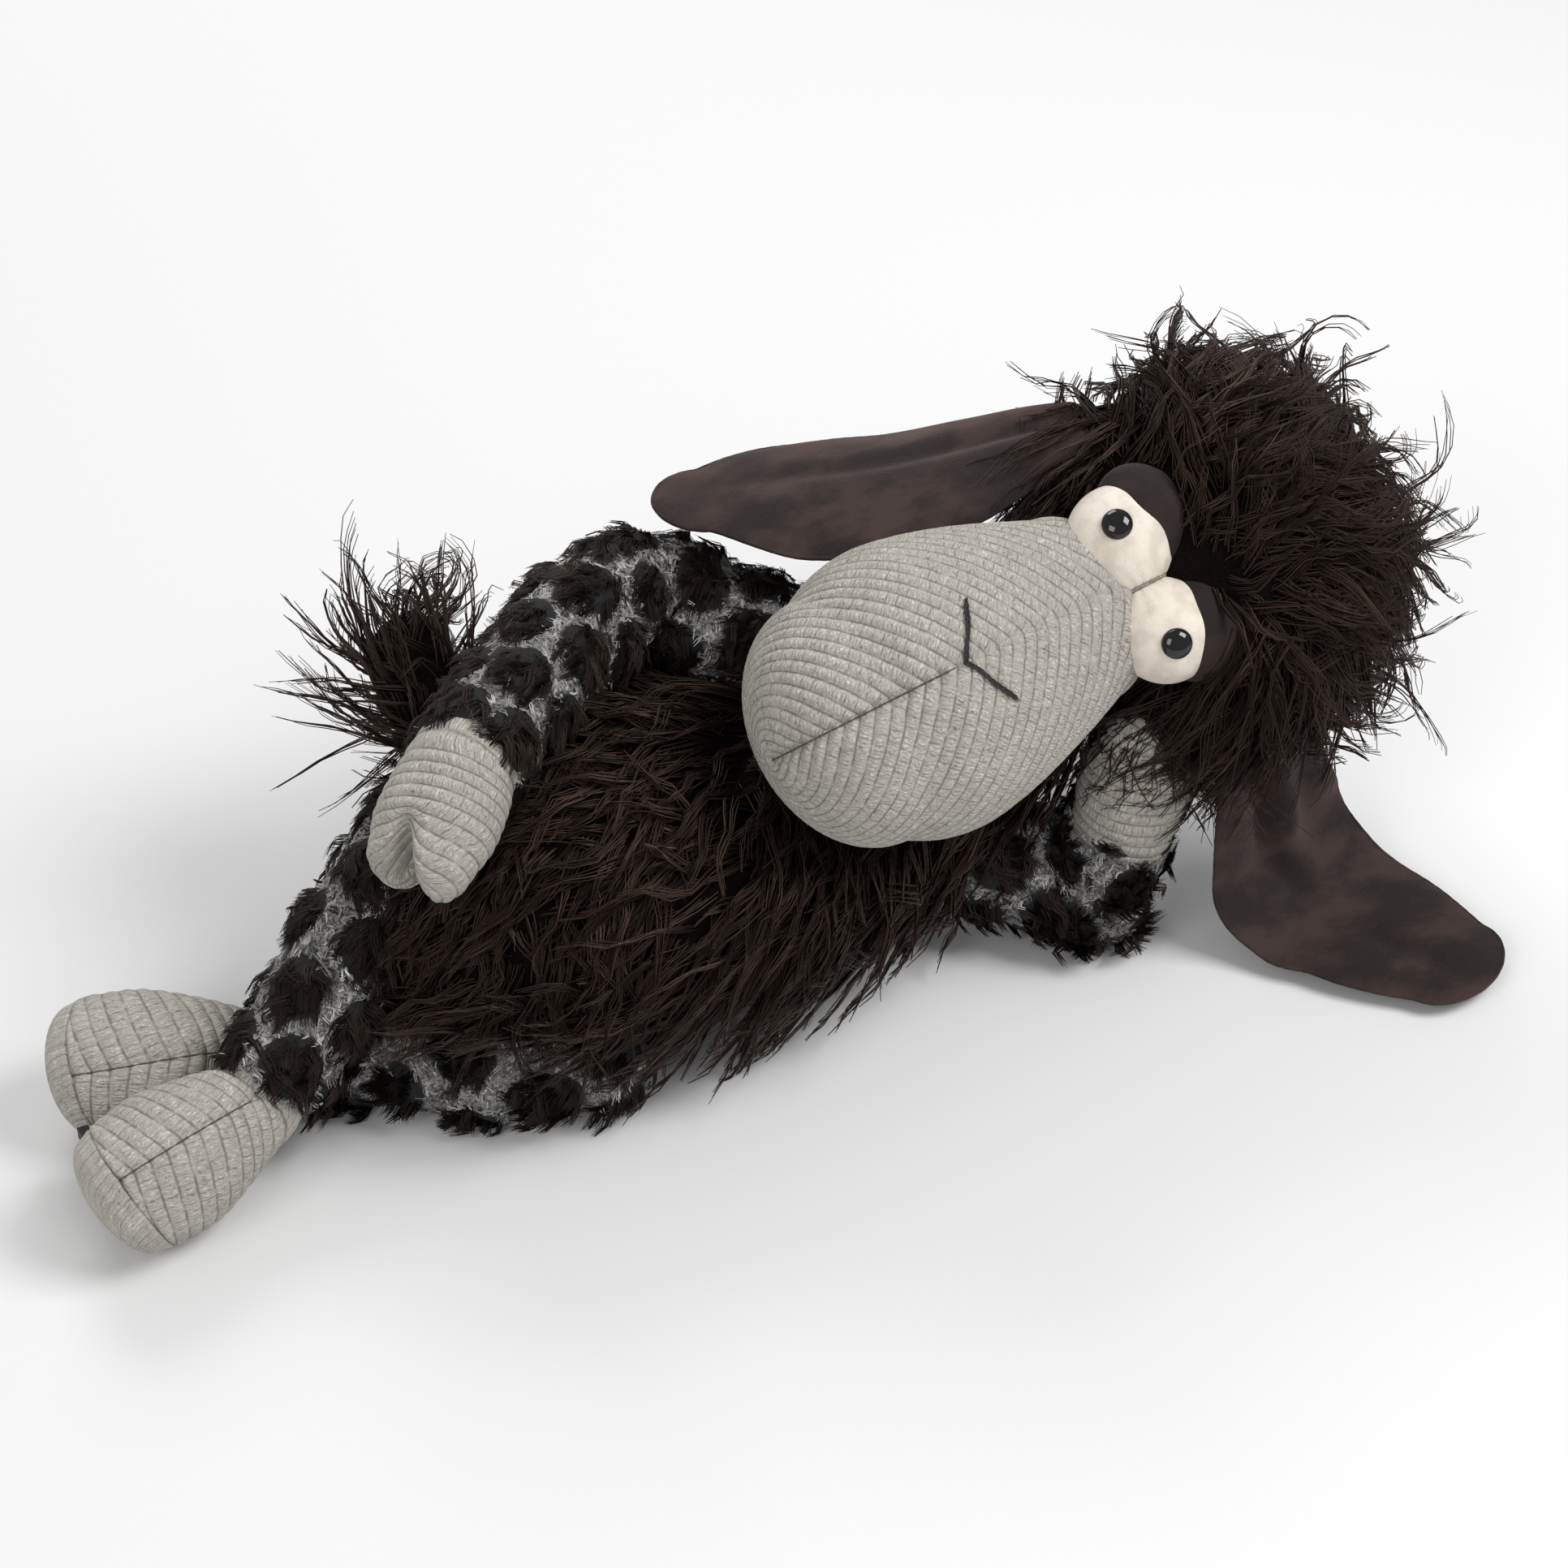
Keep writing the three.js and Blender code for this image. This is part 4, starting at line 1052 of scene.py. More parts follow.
@dataclass
class Shapes:
    """The toy's stuffed forms, in millimetres, which the sub-assemblies share so that hair keeps clear of them."""

    torso: StuffedForm = field(default_factory=lambda: StuffedForm((
        (-73.9, 0, 41.1, 41.4, 41.6), (-52.7, 0, 49.6, 53.5, 50.2), (-25.4, 0, 52.2, 56.9, 52.5),
        (5.5, 0, 49.1, 53.2, 49.8), (35.5, 0, 44.2, 45.9, 44.7), (57.3, 0, 44, 37.5, 38.2),
        (79.1, 0, 51.6, 29.1, 30.6), (99.6, 0, 64.9, 23.5, 24.7), (118.1, 0, 79.9, 22.4, 22.4),
    ), (0, 1, 0), 27, 22, -3.0))
    muzzle: StuffedForm = field(default_factory=lambda: StuffedForm((
        (110.9, -20.6, 117.4, 28.4, 19.6), (95.9, -23.8, 117, 33.7, 25.4), (81.2, -26.8, 116.6, 38.3, 30.3),
        (66.8, -29.8, 116.2, 41.7, 33.9), (53.2, -32.6, 115.8, 43.3, 35.3), (41.2, -35.1, 115.5, 41.5, 33.6),
        (30.7, -37.3, 115.2, 37, 29.4),
    ), HEAD.rightward, 20, 28, 0.3))
    right_sleeve: StuffedForm = field(default_factory=lambda: StuffedForm((
        (56.8, 23.2, 80.2, 17.5, 17.5), (38.1, 33.2, 89.6, 17.8, 17.5), (21.5, 42.1, 98, 18.1, 17.5),
        (10, 49.7, 104.4, 18.2, 17.5), (-1.4, 51.3, 108.3, 18.1, 17.5), (-12.9, 46, 109.4, 17.7, 17.6),
        (-25.9, 37.4, 109.5, 17.3, 17.3), (-39.9, 25.5, 108.6, 16.9, 16.7), (-54.5, 13.9, 107.9, 16.3, 16.1),
        (-69.4, 2.1, 107.3, 15.5, 15.5),
    ), (0, 0, 1), 17.5, 3))
    right_hoof: StuffedForm = field(default_factory=lambda: StuffedForm((
        (-69.6, 1.8, 107.3, 15.5, 15.5), (-73.5, -1.3, 107.1, 15.5, 15.5), (-79.4, -7, 104.2, 17.8, 15),
        (-87.3, -14.8, 100.3, 18.5, 14.7), (-93.2, -20.5, 97.3, 16.6, 12),
    ), (0.4566, -0.5667, 0.1925), 7.75, 11, 0.4))
    left_upper: StuffedForm = field(default_factory=lambda: StuffedForm((
        (79.1, -11.4, 32.1, 17.5, 17.5), (91.4, -18.8, 27.1, 17.5, 17.5), (103.7, -26.1, 22, 17.5, 17.5),
        (116, -33.5, 17, 17.5, 17.5),
    ), (0, 0, 1), 17.5, 6))
    left_fore: StuffedForm = field(default_factory=lambda: StuffedForm((
        (116, -33.5, 17, 17.5, 17.5), (118.5, -34.1, 24.9, 16.8, 16.8), (121, -34.8, 32.9, 16.2, 16.2),
        (123.5, -35.4, 40.8, 15.5, 15.5),
    ), (1, 0, 0), 16.6, 3))
    left_hoof: StuffedForm = field(default_factory=lambda: StuffedForm((
        (123.6, -35.4, 41.1, 15.5, 15.5), (125.1, -35.8, 45.9, 15.5, 15.5), (127, -36.3, 54.3, 17.8, 15),
        (129.6, -36.9, 65.6, 18.5, 14.7), (131.5, -37.4, 74.1, 16.6, 12),
    ), (1, 0, 0), 7.75, 11, 0.4))
    right_leg: StuffedForm = field(default_factory=lambda: StuffedForm((
        (-83.9, 14.2, 68.7, 17, 17), (-100.1, 5.2, 57.9, 17.1, 17.1), (-117.3, -4.3, 46.6, 16.3, 16.3),
        (-133.1, -13.1, 36.2, 14.9, 14.9), (-146, -20.2, 27.7, 13.5, 13.5),
    ), (0, 0, 1), 17, 3))
    right_foot: StuffedForm = field(default_factory=lambda: StuffedForm((
        (-146.3, -20.4, 27.5, 13.5, 13.5), (-150, -22.5, 25, 13.5, 13.5), (-161.9, -26, 23.8, 17.6, 17.6),
        (-175.6, -30.2, 22.4, 21.5, 21.1), (-189.4, -34.4, 21, 20.6, 21),
    ), (0, 1, 0), 6.75, 3, end_way=(-0.918, -0.07, -0.39)))
    left_leg: StuffedForm = field(default_factory=lambda: StuffedForm((
        (-50, -37, 19, 16.5, 16.5), (-68, -31, 18, 18, 18), (-86, -20, 17, 17.8, 17.8),
        (-102, -8.5, 16.3, 16.6, 16.4), (-121.9, 0.8, 16.3, 14.9, 14.9), (-138.1, 5.8, 16.5, 13.5, 13.5),
    ), (0, 0, 1), 15, 3))
    left_foot: StuffedForm = field(default_factory=lambda: StuffedForm((
        (-138.4, 5.9, 16.5, 13.5, 13.5), (-143.2, 7.4, 16.5, 13.5, 13.5), (-155.6, 9.9, 17.9, 17.6, 17.6),
        (-170, 12.8, 19.4, 21.5, 21.1), (-184.4, 15.7, 21, 20.6, 21),
    ), (0, 1, 0), 6.75, 3, end_way=(-0.86, 0.42, -0.29)))
    tail: StuffedForm = field(default_factory=lambda: StuffedForm((
        (-64, 41.4, 80.4, 9, 9), (-64, 52.7, 86.9, 12.5, 10.5), (-64, 61.9, 92.2, 13.1, 10.2),
        (-64, 69.1, 96.4, 10.8, 8.1),
    ), (1, 0, 0), 9, 11))
    head: StuffedBall = field(default_factory=lambda: StuffedBall((0, 0, 0), (44, 44, 50)))
    topknot: StuffedBall = field(default_factory=lambda: StuffedBall((3, 8, 0), (52, 51, 57)))
    eye_pads: tuple[StuffedBall, StuffedBall] = field(default_factory=lambda: (
        StuffedBall((EYE_CROWN, EYE_REAR, 14.6), (16, 12.5, 16.8)),
        StuffedBall((EYE_CROWN, EYE_REAR, -14.2), (15.5, 12.5, 16)),
    ))
    lids: tuple[StuffedBall, StuffedBall] = field(default_factory=lambda: (
        StuffedBall((-17, -33, 17.2), (14.5, 13.5, 17)), StuffedBall((-17, -33, -17.2), (14.5, 13.5, 17)),
    ))
    right_ear: StuffedForm = field(init=False)
    left_ear: StuffedForm = field(init=False)

    def __post_init__(self) -> None:
        """Lays the ears out from their roots on the head."""
        self.right_ear = self.ear(self.right_ear_place, (0.2563, 0.9565, 0.0), (0.42, 0.84, 1, 0.84, 0.5))
        self.left_ear = self.ear(self.left_ear_soft, (-0.91355, -0.40674, 0.0), (0.72, 1.02, 1.07, 0.94, 0.68))

    @staticmethod
    def right_ear_place(share: float) -> np.ndarray:
        """Returns the right ear's middle line, which sags towards the arm, at a share of its length."""
        way = np.array((-0.9565, 0.2563, -0.1392))
        rise = np.array((0.0, 0.0, 4 * share - 6 * math.sin(math.pi * share)))
        return HEAD.place((-19, -10, 50.2)) + way * 115 * share + rise

    @staticmethod
    def left_ear_place(share: float) -> np.ndarray:
        """Returns the left ear's middle line, which drops to the floor and lies there, at a share of its length."""
        root = HEAD.place((-9.5, -5, -55.3))
        outward, aside = np.array((0.40674, -0.91355, 0.0)), np.array((0.99619, 0.08716, 0.0))
        drop = root[2] - 5.05
        fallen = min(1.0, share / 0.6)
        lying = outward * max(0.0, share - 0.5) * 115 + aside * 0.27 * drop * fallen
        return root + DOWN * drop * math.sin(math.pi / 2 * fallen) + lying

    def left_ear_soft(self, share: float) -> np.ndarray:
        """Returns the left ear's middle line with its bend at the floor rounded off, a little towards the body."""
        reach = 0.22 * math.sin(math.pi * share)
        near = [self.left_ear_place(share + step * reach) for step in (-1.0, -0.5, 0.0, 0.5, 1.0)]
        return np.mean(near, 0) + np.array((-2.0, -1.0, -2.0)) * math.sin(math.pi * share)

    @staticmethod
    def ear(
        place: Callable[[float], np.ndarray], side: tuple[float, float, float], widths: Sequence[float],
    ) -> StuffedForm:
        """Draws one ear.

        Args:
            place: Its middle line at a share of its length.
            side: The way across it.
            widths: Its half width at five places, as shares of the widest half.

        Returns:
            The ear's form, thin at the tip.
        """
        shares = np.linspace(0, 1, 11)
        wide = np.interp(shares, (0, 0.3, 0.58, 0.84, 1), widths) * EAR_HALF
        tall = np.interp(shares, (0, 0.3, 0.58, 0.84, 1), (1, 0.95, 0.85, 0.7, 0.55)) * 4
        rows = [(*place(s), w, t) for s, w, t in zip(shares, wide, tall)]
        return StuffedForm(rows, side, 4, 15)


@dataclass
class Torso:
    """The long-haired body, with its tail."""

    shapes: Shapes
    fur: ShaggyFur
    rng: np.random.Generator
    locks: int = 1500
    tail_locks: int = 135
    combed: tuple[float, float, float] = (-0.9, -0.1, -0.22)

    def flow(self, roots: np.ndarray, normals: np.ndarray) -> np.ndarray:
        """Combs the coat to the rump and down the low flanks, with some wander."""
        low = np.clip((40 - roots[:, 2]) / 30, 0, 1)[:, None]
        flows = np.array(self.combed) + normals * np.array((0, 0.55, 0)) + 0.75 * low * DOWN
        return flows + 0.55 * drift(roots, 26, 1.3) + 0.3 * drift(roots, 9, 2.1)

    def build(self) -> None:
        """Builds the body's backing, its coat in three pieces and the tail."""
        shapes = self.shapes
        skin = shapes.torso.skin("torso_fur_backing", 120, 110)
        lumps = drift(skin.places, 7, 0.4)[:, 0] + 0.6 * drift(skin.places, 3.1, 2.2)[:, 1]
        skin.shift(0.5 * lumps)
        seat(skin.piece, "torso", [self.fur.backing()], ["torso_fur_skin"])
        others = (
            shapes.right_sleeve, shapes.right_hoof, shapes.left_upper, shapes.left_fore, shapes.right_leg,
            shapes.left_leg, shapes.muzzle, shapes.right_ear, shapes.head,
        )
        style = LockStyle(
            length=36, lift=24, droop=0.4, sway=0.34, wave=1.6, cycles=1.7, thick=0.8, strands=8, patch=2.9,
            gather=0.88, points=7,
        )
        coat = Coat("torso_fur", style, self.rng, shapes.torso, others)
        roots, normals, along = skin.scatter(self.locks * 2, self.rng, skin.along)
        keep = (normals[:, 2] > -0.5) & (along > 6)
        for form in others:
            keep &= ~form.holds(roots, -2.0)
        roots, normals = roots[keep][:self.locks], normals[keep][:self.locks]
        longer = np.interp(roots[:, 0], (-100, -40, 10, 90), (0.75, 0.95, 1.05, 0.95))
        strands = coat.grow(roots, normals, self.flow(roots, normals), longer)
        order = np.argsort(-strands[:, 0, 0], kind="stable")
        finish = self.fur.strands()
        for name, part in zip(("chest", "middle", "rump"), np.array_split(order, 3)):
            coat.name = "torso_fur_" + name
            seat(coat.spin(strands[part]), "torso", [finish])
        self.build_tail(finish)

    def build_tail(self, finish: bpy.types.Material) -> None:
        """Builds the tail's backing and its wispy locks."""
        skin = self.shapes.tail.skin("tail_tuft_backing", 40, 36)
        seat(skin.piece, "tail", [self.fur.backing()], ["tail_tuft"])
        style = LockStyle(
            length=34, uneven=0.5, lift=30, droop=0.15, sway=0.45, wave=1.2, cycles=1.5, thick=0.62, strands=6,
            patch=2.2, gather=0.9, points=8,
        )
        coat = Coat("tail_fur", style, self.rng, self.shapes.tail)
        roots, normals = skin.scatter(self.tail_locks, self.rng)
        flows = np.array((-0.25, 0.62, 0.45)) + 0.7 * drift(roots, 14, 0.7) + normals * np.array((0.6, 0.2, 0.2))
        seat(coat.spin(coat.grow(roots, normals, flows)), "tail", [finish])


@dataclass
class HeadFur:
    """The head's coat and the topknot: long wavy locks that spread from the crown."""

    shapes: Shapes
    fur: ShaggyFur
    rng: np.random.Generator
    locks: int = 800
    topknot_locks: int = 560
    wisps: int = 120
    ruff_locks: int = 200
    cheek_locks: int = 290
    brow_locks: int = 130
    face: tuple[float, float, float] = (-24, -46, 0)

    def flow(self, roots: np.ndarray) -> np.ndarray:
        """Combs the hair back from the face, falling a little under its weight."""
        flows = unit(roots - HEAD.place(self.face)) + 0.25 * DOWN
        return flows + 0.4 * drift(roots, 22, 0.9) + 0.3 * drift(roots, 8, 1.7)

    @staticmethod
    def off_face(strands: np.ndarray) -> np.ndarray:
        """Tells which strands leave the eyes free."""
        local = HEAD.within(strands)
        window = ((local[..., 0] + 27) / 19) ** 2 + (local[..., 2] / 32) ** 2 < 1
        return ~((local[..., 1] < -30) & window).any(1)

    def off_muzzle(self, strands: np.ndarray) -> np.ndarray:
        """Tells which strands keep off the front of the muzzle."""
        over = self.shapes.muzzle.holds(strands.reshape(-1, 3), 1.6).reshape(strands.shape[:2])
        return ~(over & (HEAD.within(strands)[..., 1] < -36)).any(1)

    def build(self) -> None:
        """Builds the head's backing, its coat in three pieces, and the ruff, cheek, brow and topknot."""
        shapes = self.shapes
        skin = shapes.head.skin("head_fur_backing", 96, 72)
        seat(skin.piece, "head", [self.fur.backing()], ["head_fur_skin"])
        others = (shapes.muzzle, *shapes.eye_pads, *shapes.lids, shapes.right_ear, shapes.left_ear, shapes.left_hoof)
        style = LockStyle(
            length=34, uneven=0.45, lift=32, droop=0.35, sway=0.45, wave=1.6, cycles=1.6, thick=0.78, strands=8,
            patch=2.9, gather=0.92, points=7,
        )
        coat = Coat("head_fur", style, self.rng, shapes.head, others)
        roots, normals = skin.scatter(self.locks * 2, self.rng)
        keep = np.ones(len(roots), bool)
        for form in others:
            keep &= ~form.holds(roots, 0.5)
        roots, normals = roots[keep][:self.locks], normals[keep][:self.locks]
        strands = coat.grow(roots, normals, self.flow(roots))
        strands = strands[self.off_face(strands) & self.off_muzzle(strands)]
        finish = self.fur.strands()
        order = np.argsort(HEAD.within(strands[:, 0])[:, 1], kind="stable")
        for name, part in zip(("front", "side", "back"), np.array_split(order, 3)):
            coat.name = "head_fur_" + name
            seat(coat.spin(strands[part]), "head", [finish])
        self.build_ruff(skin, finish)
        self.build_cheek(skin, finish)
        self.build_brow(skin, finish)
        self.build_topknot(finish)

    def build_ruff(self, skin: Skin, finish: bpy.types.Material) -> None:
        """Builds the long hair that lies along the muzzle below the right ear."""
        shapes = self.shapes
        style = LockStyle(
            length=44, uneven=0.4, lift=16, droop=0.12, sway=0.28, wave=1.8, cycles=2.0, thick=0.66, strands=5,
            patch=2.2, points=9,
        )
        coat = Coat("head_fur_ruff", style, self.rng, shapes.head, (shapes.muzzle, shapes.right_ear, *shapes.lids))
        roots, normals = skin.scatter(self.ruff_locks * 14, self.rng)
        local = HEAD.within(roots)
        keep = (local[:, 0] < 2) & (local[:, 1] > -22) & (local[:, 1] < 26) & (local[:, 2] > 27)
        roots, normals = roots[keep][:self.ruff_locks], normals[keep][:self.ruff_locks]
        flows = np.array((-0.98, -0.06, -0.1)) + 0.25 * drift(roots, 18, 0.4)
        strands = coat.grow(roots, normals, flows)
        strands = strands[self.off_face(strands) & self.off_muzzle(strands)]
        seat(coat.spin(strands), "head", [finish])

    def build_cheek(self, skin: Skin, finish: bpy.types.Material) -> None:
        """Builds the hair that hangs from the left cheek over the hoof and the left ear's root."""
        shapes = self.shapes
        style = LockStyle(
            length=45, uneven=0.4, lift=24, droop=0.35, sway=0.35, wave=1.8, cycles=1.7, thick=0.66, strands=5,
            patch=2.2, gather=0.85, points=8,
        )
        coat = Coat("head_fur_cheek", style, self.rng, shapes.head, (shapes.muzzle, shapes.left_hoof, *shapes.lids))
        roots, normals = skin.scatter(self.cheek_locks * 14, self.rng)
        local = HEAD.within(roots)
        keep = (local[:, 0] < 14) & (local[:, 1] < 8) & (local[:, 2] < -20) & ~shapes.muzzle.holds(roots, 0.0)
        roots, normals = roots[keep][:self.cheek_locks], normals[keep][:self.cheek_locks]
        flows = np.array((-0.42, -0.5, -0.75)) + 0.3 * drift(roots, 18, 0.8)
        strands = coat.grow(roots, normals, flows)
        seat(coat.spin(strands[self.off_face(strands)]), "head", [finish])

    def build_brow(self, skin: Skin, finish: bpy.types.Material) -> None:
        """Builds the short hair that starts right behind the lids."""
        shapes = self.shapes
        style = LockStyle(
            length=21, uneven=0.4, lift=38, droop=0.1, sway=0.4, wave=1.2, cycles=1.3, thick=0.76, strands=8,
            patch=2.4, gather=0.92, points=6,
        )
        coat = Coat("head_fur_brow", style, self.rng, shapes.topknot, shapes.lids)
        roots, normals = skin.scatter(self.brow_locks * 14, self.rng)
        local = HEAD.within(roots)
        keep = (local[:, 0] > -14) & (local[:, 0] < 22) & (local[:, 1] < -8) & (np.abs(local[:, 2]) < 46)
        for lid in shapes.lids:
            keep &= ~lid.holds(roots, -1.0)
        roots, normals = roots[keep][:self.brow_locks], normals[keep][:self.brow_locks]
        strands = coat.grow(roots, normals, self.flow(roots))
        seat(coat.spin(strands[self.off_face(strands)]), "head", [finish])

    @staticmethod
    def sink_chin(local: np.ndarray) -> np.ndarray:
        """Draws the cap's chin side in under the head's own skin."""
        sunk = np.interp(local[:, 0], (-6, 10), (0.84, 1.0))
        return local * sunk[:, None]

    def build_topknot(self, finish: bpy.types.Material) -> None:
        """Builds the topknot's backing and locks."""
        skin = self.shapes.topknot.skin("topknot_backing", 72, 56, self.sink_chin)
        seat(skin.piece, "head", [self.fur.backing()], ["topknot_tuft"])
        style = LockStyle(
            length=27, uneven=0.5, lift=27, droop=0.25, sway=0.6, wave=1.6, cycles=1.5, thick=0.8, strands=9,
            patch=3.0, gather=0.94, points=7,
        )
        coat = Coat("topknot_fur", style, self.rng, self.shapes.topknot, self.shapes.lids)
        roots, normals = skin.scatter(self.topknot_locks * 3, self.rng)
        keep = HEAD.within(roots)[:, 0] > 4
        roots, normals = roots[keep][:self.topknot_locks], normals[keep][:self.topknot_locks]
        strands = coat.grow(roots, normals, self.flow(roots))
        strands = strands[self.off_face(strands)]
        for name, part in zip(("left", "right"), np.array_split(np.argsort(HEAD.within(strands[:, 0])[:, 2]), 2)):
            coat.name = "topknot_fur_" + name
            seat(coat.spin(strands[part]), "head", [finish])
        loose = LockStyle(
            length=36, uneven=0.4, lift=54, droop=0.1, sway=0.4, wave=1.6, cycles=1.3, thick=0.6, strands=6,
            patch=2.0, gather=0.92, points=9,
        )
        coat = Coat("topknot_wisps", loose, self.rng, self.shapes.topknot, self.shapes.lids)
        roots, normals = roots[:self.wisps], normals[:self.wisps]
        strands = coat.grow(roots, normals, self.flow(roots))
        seat(coat.spin(strands[self.off_face(strands)]), "head", [finish])


@dataclass
class Ribbing:
    """How knitted ribs run over a form: their pitch and relief in millimetres, and their slant from the middle line."""

    pitch: float = 4.2
    relief: float = 0.55
    stitch: float = 3.0
    slant: float = 0.0
    middle: float = 0.0

    def lay(self, skin: Skin) -> tuple[np.ndarray, np.ndarray]:
        """Lays the ribs on a skin and keeps their numbers on its points.

        Args:
            skin: The form's mesh.

        Returns:
            The relief of each point, and how far round it lies from the middle line, in millimetres.
        """
        front = (skin.turn - math.radians(self.middle) + math.pi) % (2 * math.pi) - math.pi
        around = np.abs(front) * skin.radius
        slant = math.radians(self.slant)
        rib = (skin.along * math.cos(slant) - around * math.sin(slant)) / self.pitch
        stitch = (skin.along * math.sin(slant) + around * math.cos(slant)) / self.stitch
        keep_numbers(skin.data, "rib", rib)
        keep_numbers(skin.data, "stitch", stitch)
        return self.relief * (np.abs(np.sin(math.pi * rib)) ** 0.8 - 0.6), around


@dataclass
class Muzzle:
    """The knitted muzzle with its mouth seam and stitched nose."""

    shapes: Shapes
    knit: bpy.types.Material
    nose_start: float = 0.545
    nose_point: float = 0.685
    nose_spread: float = 22.0
    seam_depth: float = 1.6
    seam_width: float = 1.5
    brow_depth: float = 0.9

    def build(self) -> None:
        """Builds the knit cover, the nose and the mouth's thread."""
        form = self.shapes.muzzle
        skin = form.skin("muzzle_knit", 400, 176)
        relief, around = Ribbing(slant=37.0).lay(skin)
        point = form.mark(self.nose_point)
        mouth = np.clip((skin.along - point) / 6, 0, 1)
        brow = np.clip((point - skin.along) / 6, 0, 1) * self.brow_depth
        seam = (mouth * self.seam_depth + brow) * np.exp(-(around / self.seam_width) ** 2)
        puff = 0.8 * np.exp(-((around - 7) / 5) ** 2) * mouth
        skin.shift(relief + puff - seam)
        seat(skin.piece, "head", [self.knit], ["muzzle_knit_cover"])
        thread = Thread()
        finish = thread.material()
        bends = np.linspace(-1, 1, 61)
        lines = []
        for shift in (-0.4, 0.4):
            share = self.nose_point - (self.nose_point - self.nose_start) * np.abs(bends) ** 0.9
            turn = math.pi / 2 + np.radians(bends * self.nose_spread)
            wobble = 0.25 * np.sin(bends * 9 + shift * 7)
            lines.append(form.surface(form.mark(share) + shift + wobble, turn, 0.75 + 0.1 * shift))
        nose = tube("nose_stitch_thread", lines, 0.4, 0.25)
        seat(nose, "head", [finish], ["nose_stitch"])
        run = np.linspace(point, form.profile[-1] * 0.99, 90)
        mouth_line = form.surface(run, np.full(90, math.pi / 2), -self.seam_depth + 0.75)
        mouth_thread = tube("mouth_seam_thread", [mouth_line], 0.22, 0.35)
        dull = Thread(name="mouth_thread", dark=linear(56, 50, 46), light=linear(110, 102, 94)).material()
        seat(mouth_thread, "head", [dull])


@dataclass
class Eyes:
    """The velour eye pads with their lids and pupils."""

    shapes: Shapes
    pupil_radius: float = 4.6
    pupil_rise: float = 2.9
    waist: float = 0.35

    def pad_shape(self, sign: int) -> Callable[[np.ndarray], np.ndarray]:
        """Returns the change that presses a pad flat against its neighbour, with puckers round the seam."""
        def press(local: np.ndarray) -> np.ndarray:
            """Presses and puckers the points of one pad."""
            beside = sign * local[:, 2]
            spin = np.arctan2(local[:, 1] - EYE_REAR, local[:, 0] - EYE_CROWN)
            near = np.exp(-np.maximum(beside, 0) / 3.2)
            pucker = 1 + near * (0.035 * np.sin(17 * spin + sign) - 0.05)
            local = local.copy()
            local[:, 0] = EYE_CROWN + (local[:, 0] - EYE_CROWN) * pucker
            local[:, 1] = EYE_REAR + (local[:, 1] - EYE_REAR) * pucker
            local[:, 2] = sign * np.maximum(beside, self.waist)
            return local
        return press

    def build(self) -> None:
        """Builds both eyes and the seam between them."""
        velour = EyeVelour().material()
        # the lids' velour carries the same painted sheen patches, dimmer
        dark = EarVelour(name="lid_velour", nap=linear(24, 18, 17), painted_sheen=linear(44, 34, 32)).material()
        gloss = PupilGloss().material()
        for word, sign, pad, lid in zip(("right", "left"), (1, -1), self.shapes.eye_pads, self.shapes.lids):
            skin = pad.skin(f"eye_pad_{word}_velour", 96, 64, self.pad_shape(sign))
            seat(skin.piece, "head", [velour], [f"eye_pad_{word}"])
            fold = lid.skin(f"eyelid_{word}_velour", 72, 48)
            fold.shift(0.35 * drift(fold.places, 5, 1.1)[:, 0])
            seat(fold.piece, "head", [dark], [f"eyelid_{word}"])
            seat(self.pupil(word, sign), "head", [gloss], [f"pupil_{word}"])
        turns = np.linspace(-2.9, -0.25, 40)
        ring = (EYE_CROWN + 7.6 * np.cos(turns), EYE_REAR + 6.6 * np.sin(turns), np.zeros(40))
        seam = HEAD.place(np.stack(ring, -1))
        thread = tube("eye_seam_thread", [seam], 0.4, 0.3)
        finish = Thread(name="eye_thread", dark=linear(120, 110, 98), light=linear(190, 180, 165)).material()
        seat(thread, "head", [finish])

    def pupil(self, word: str, sign: int) -> bpy.types.Object:
        """Makes a glossy dome with a rolled rim, seated on its pad."""
        normal = HEAD.turn(np.array((0.0, -0.974, 0.225 * sign)))
        rim = HEAD.place((EYE_CROWN, EYE_REAR - 11.45, sign * 19.2))
        first = unit(np.cross(normal, DOWN))
        second = np.cross(normal, first)
        data = ball_mesh(f"pupil_{word}_dome", 48, 32)
        ball = read_points(data)
        rise = np.where(ball[:, 2] > 0, self.pupil_rise, 1.4)
        spread = np.sqrt(np.maximum(0, 1 - np.abs(ball[:, 2]) ** 2.4))
        round_way = ball[:, :2] / np.maximum(np.linalg.norm(ball[:, :2], axis=1, keepdims=True), 1e-6)
        places = (rim + np.outer(ball[:, 2] * rise, normal)
                  + np.outer(round_way[:, 0] * spread * self.pupil_radius, first)
                  + np.outer(round_way[:, 1] * spread * self.pupil_radius, second))
        write_points(data, places)
        shape = bmesh.new()
        shape.from_mesh(data)
        bmesh.ops.recalc_face_normals(shape, faces=shape.faces)
        shape.to_mesh(data)
        shape.free()
        return link_mesh(f"pupil_{word}_dome", data)


